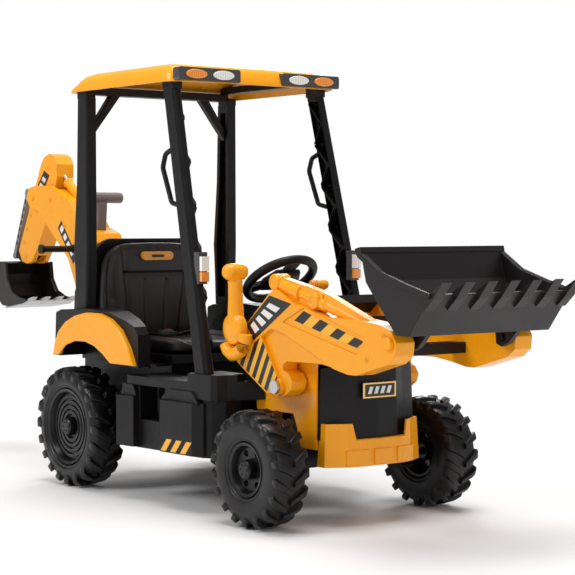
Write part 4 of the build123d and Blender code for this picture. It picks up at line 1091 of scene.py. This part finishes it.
def make_seat_belt():
    """Lap belt on the cushion: two webbing straps, a buckle with its red button and a latch tongue."""
    bm = bmesh.new()
    for hand in (-1, 1):
        run = []
        for k in range(15):
            share = k / 14
            y = hand * (155 - 133 * share)
            rise = 9.5 + 5 * math.sin(math.pi * share) - 4 * share
            station = 22 + 30 * share + 6 * math.sin(5 * share)
            run.append(place(station, y, 374 + rise))
        add_tube(bm, run, 13, steps=12, squash=0.09, up=(0, 0, 1))
    strap = finish_piece(bm, "belt_webbing", "chassis", M["webbing"])
    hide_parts("seat_belt")
    bm = bmesh.new()
    outline = [(40, 378), (40, 388), (46, 391), (62, 391), (68, 388), (68, 378)]
    add_prism(bm, outline, -34, 2)
    add_prism(bm, [(44, 380), (44, 386), (64, 386), (64, 380)], 2, 14)
    finish_piece(bm, "belt_buckle", "chassis", M["lamp_black"], bevel=1.5)
    bm = bmesh.new()
    add_prism(bm, [(47, 390), (47, 392.5), (61, 392.5), (61, 390)], -14, -2)
    finish_piece(bm, "belt_button", "chassis", M["button_red"], bevel=0.8)


# ------------------------------------------------------------------ stage
CAMERA_DOWN, CAMERA_ROUND = 2.086, 52.44      # degrees


def make_camera():
    """Camera at the photograph's viewing angle."""
    data = bpy.data.cameras.new("camera")
    data.lens = 107.15
    data.sensor_width = 36.0
    data.clip_end = 60.0
    camera = bpy.data.objects.new("camera", data)
    camera.location = (3.7765 + REAR_AXLE_X, -2.4789, 0.663)
    camera.rotation_euler = (math.radians(90 - CAMERA_DOWN), 0, math.radians(CAMERA_ROUND))
    bpy.context.scene.collection.objects.link(camera)
    bpy.context.scene.camera = camera


def area_light(name, where, aim, size, power, colour=(1, 1, 1)):
    """Soft square light, pointed at a spot."""
    data = bpy.data.lights.new(name, "AREA")
    data.size = size
    data.energy = power
    data.color = colour
    light = bpy.data.objects.new(name, data)
    light.location = where
    light.rotation_euler = (Vector(aim) - Vector(where)).to_track_quat("-Z", "Y").to_euler()
    bpy.context.scene.collection.objects.link(light)


def white_surroundings():
    """World that lights the model softly and looks white behind it."""
    world = bpy.data.worlds.new("studio")
    bpy.context.scene.world = world
    world.use_nodes = True
    nodes, links = world.node_tree.nodes, world.node_tree.links
    soft = nodes["Background"]
    soft.inputs["Color"].default_value = (1.0, 0.97, 0.96, 1)
    soft.inputs["Strength"].default_value = 0.42
    white = nodes.new("ShaderNodeBackground")
    white.inputs["Strength"].default_value = 1.0
    white.inputs["Color"].default_value = (1, 1, 1, 1)
    path = nodes.new("ShaderNodeLightPath")
    mix = nodes.new("ShaderNodeMixShader")
    links.new(path.outputs["Is Camera Ray"], mix.inputs["Fac"])
    links.new(soft.outputs["Background"], mix.inputs[1])
    links.new(white.outputs["Background"], mix.inputs[2])
    links.new(mix.outputs["Shader"], nodes["World Output"].inputs["Surface"])


def make_floor():
    """Pale floor that takes a soft shadow and fades to white away from the model."""
    bm = bmesh.new()
    reach = 30.0
    corners = [bm.verts.new((x, y, -0.0005)) for x, y in
               ((-reach, -reach), (reach, -reach), (reach, reach), (-reach, reach))]
    bm.faces.new(corners)
    mesh = bpy.data.meshes.new("floor")
    bm.to_mesh(mesh)
    bm.free()
    floor = bpy.data.objects.new("floor", mesh)
    bpy.context.scene.collection.objects.link(floor)
    material, nodes, links, shader = node_material("floor_white")
    shader.inputs["Base Color"].default_value = (0.90, 0.90, 0.90, 1)
    shader.inputs["Roughness"].default_value = 0.6
    shader.inputs["Specular IOR Level"].default_value = 0.2
    where = nodes.new("ShaderNodeTexCoord")
    distance = nodes.new("ShaderNodeVectorMath")
    distance.operation = "LENGTH"
    links.new(where.outputs["Object"], distance.inputs[0])
    fade = nodes.new("ShaderNodeMapRange")
    fade.interpolation_type = "SMOOTHSTEP"
    fade.inputs["From Min"].default_value = 0.9
    fade.inputs["From Max"].default_value = 2.6
    links.new(distance.outputs["Value"], fade.inputs["Value"])
    glow = nodes.new("ShaderNodeEmission")
    glow.inputs["Strength"].default_value = 1.0
    mix = nodes.new("ShaderNodeMixShader")
    links.new(fade.outputs["Result"], mix.inputs["Fac"])
    links.new(shader.outputs["BSDF"], mix.inputs[1])
    links.new(glow.outputs["Emission"], mix.inputs[2])
    links.new(mix.outputs["Shader"], nodes["Material Output"].inputs["Surface"])
    mesh.materials.append(material)


def make_stage():
    """Pale floor, white surroundings and soft studio lights."""
    make_floor()
    white_surroundings()
    area_light("key", (-0.6, -3.6, 3.0), (0.1, 0, 0.5), 1.5, 70)
    area_light("top", (0.2, 0.1, 4.2), (0.1, 0, 0.5), 2.4, 125)
    area_light("front", (4.2, -0.6, 1.6), (0.3, 0, 0.5), 1.2, 14)
    area_light("rim", (-2.6, 2.6, 2.4), (0.0, 0, 0.6), 1.4, 40)
    bpy.context.scene.view_settings.view_transform = "Standard"


make_camera()
make_stage()
paint_cad()
make_backrest()
make_cushion()
soften_cad()
make_wheels()
make_roof()
make_roof_bars()
make_seat_belt()
make_arm_decals()
make_arm_rams()
make_lever()
make_crossbar_grip()
make_wheel_pad()
make_arm_caps()
make_bucket_bolts()
make_grille_badge()
make_seat_badge()
make_pod_decals()
make_digger_decals()
make_digger_ram()
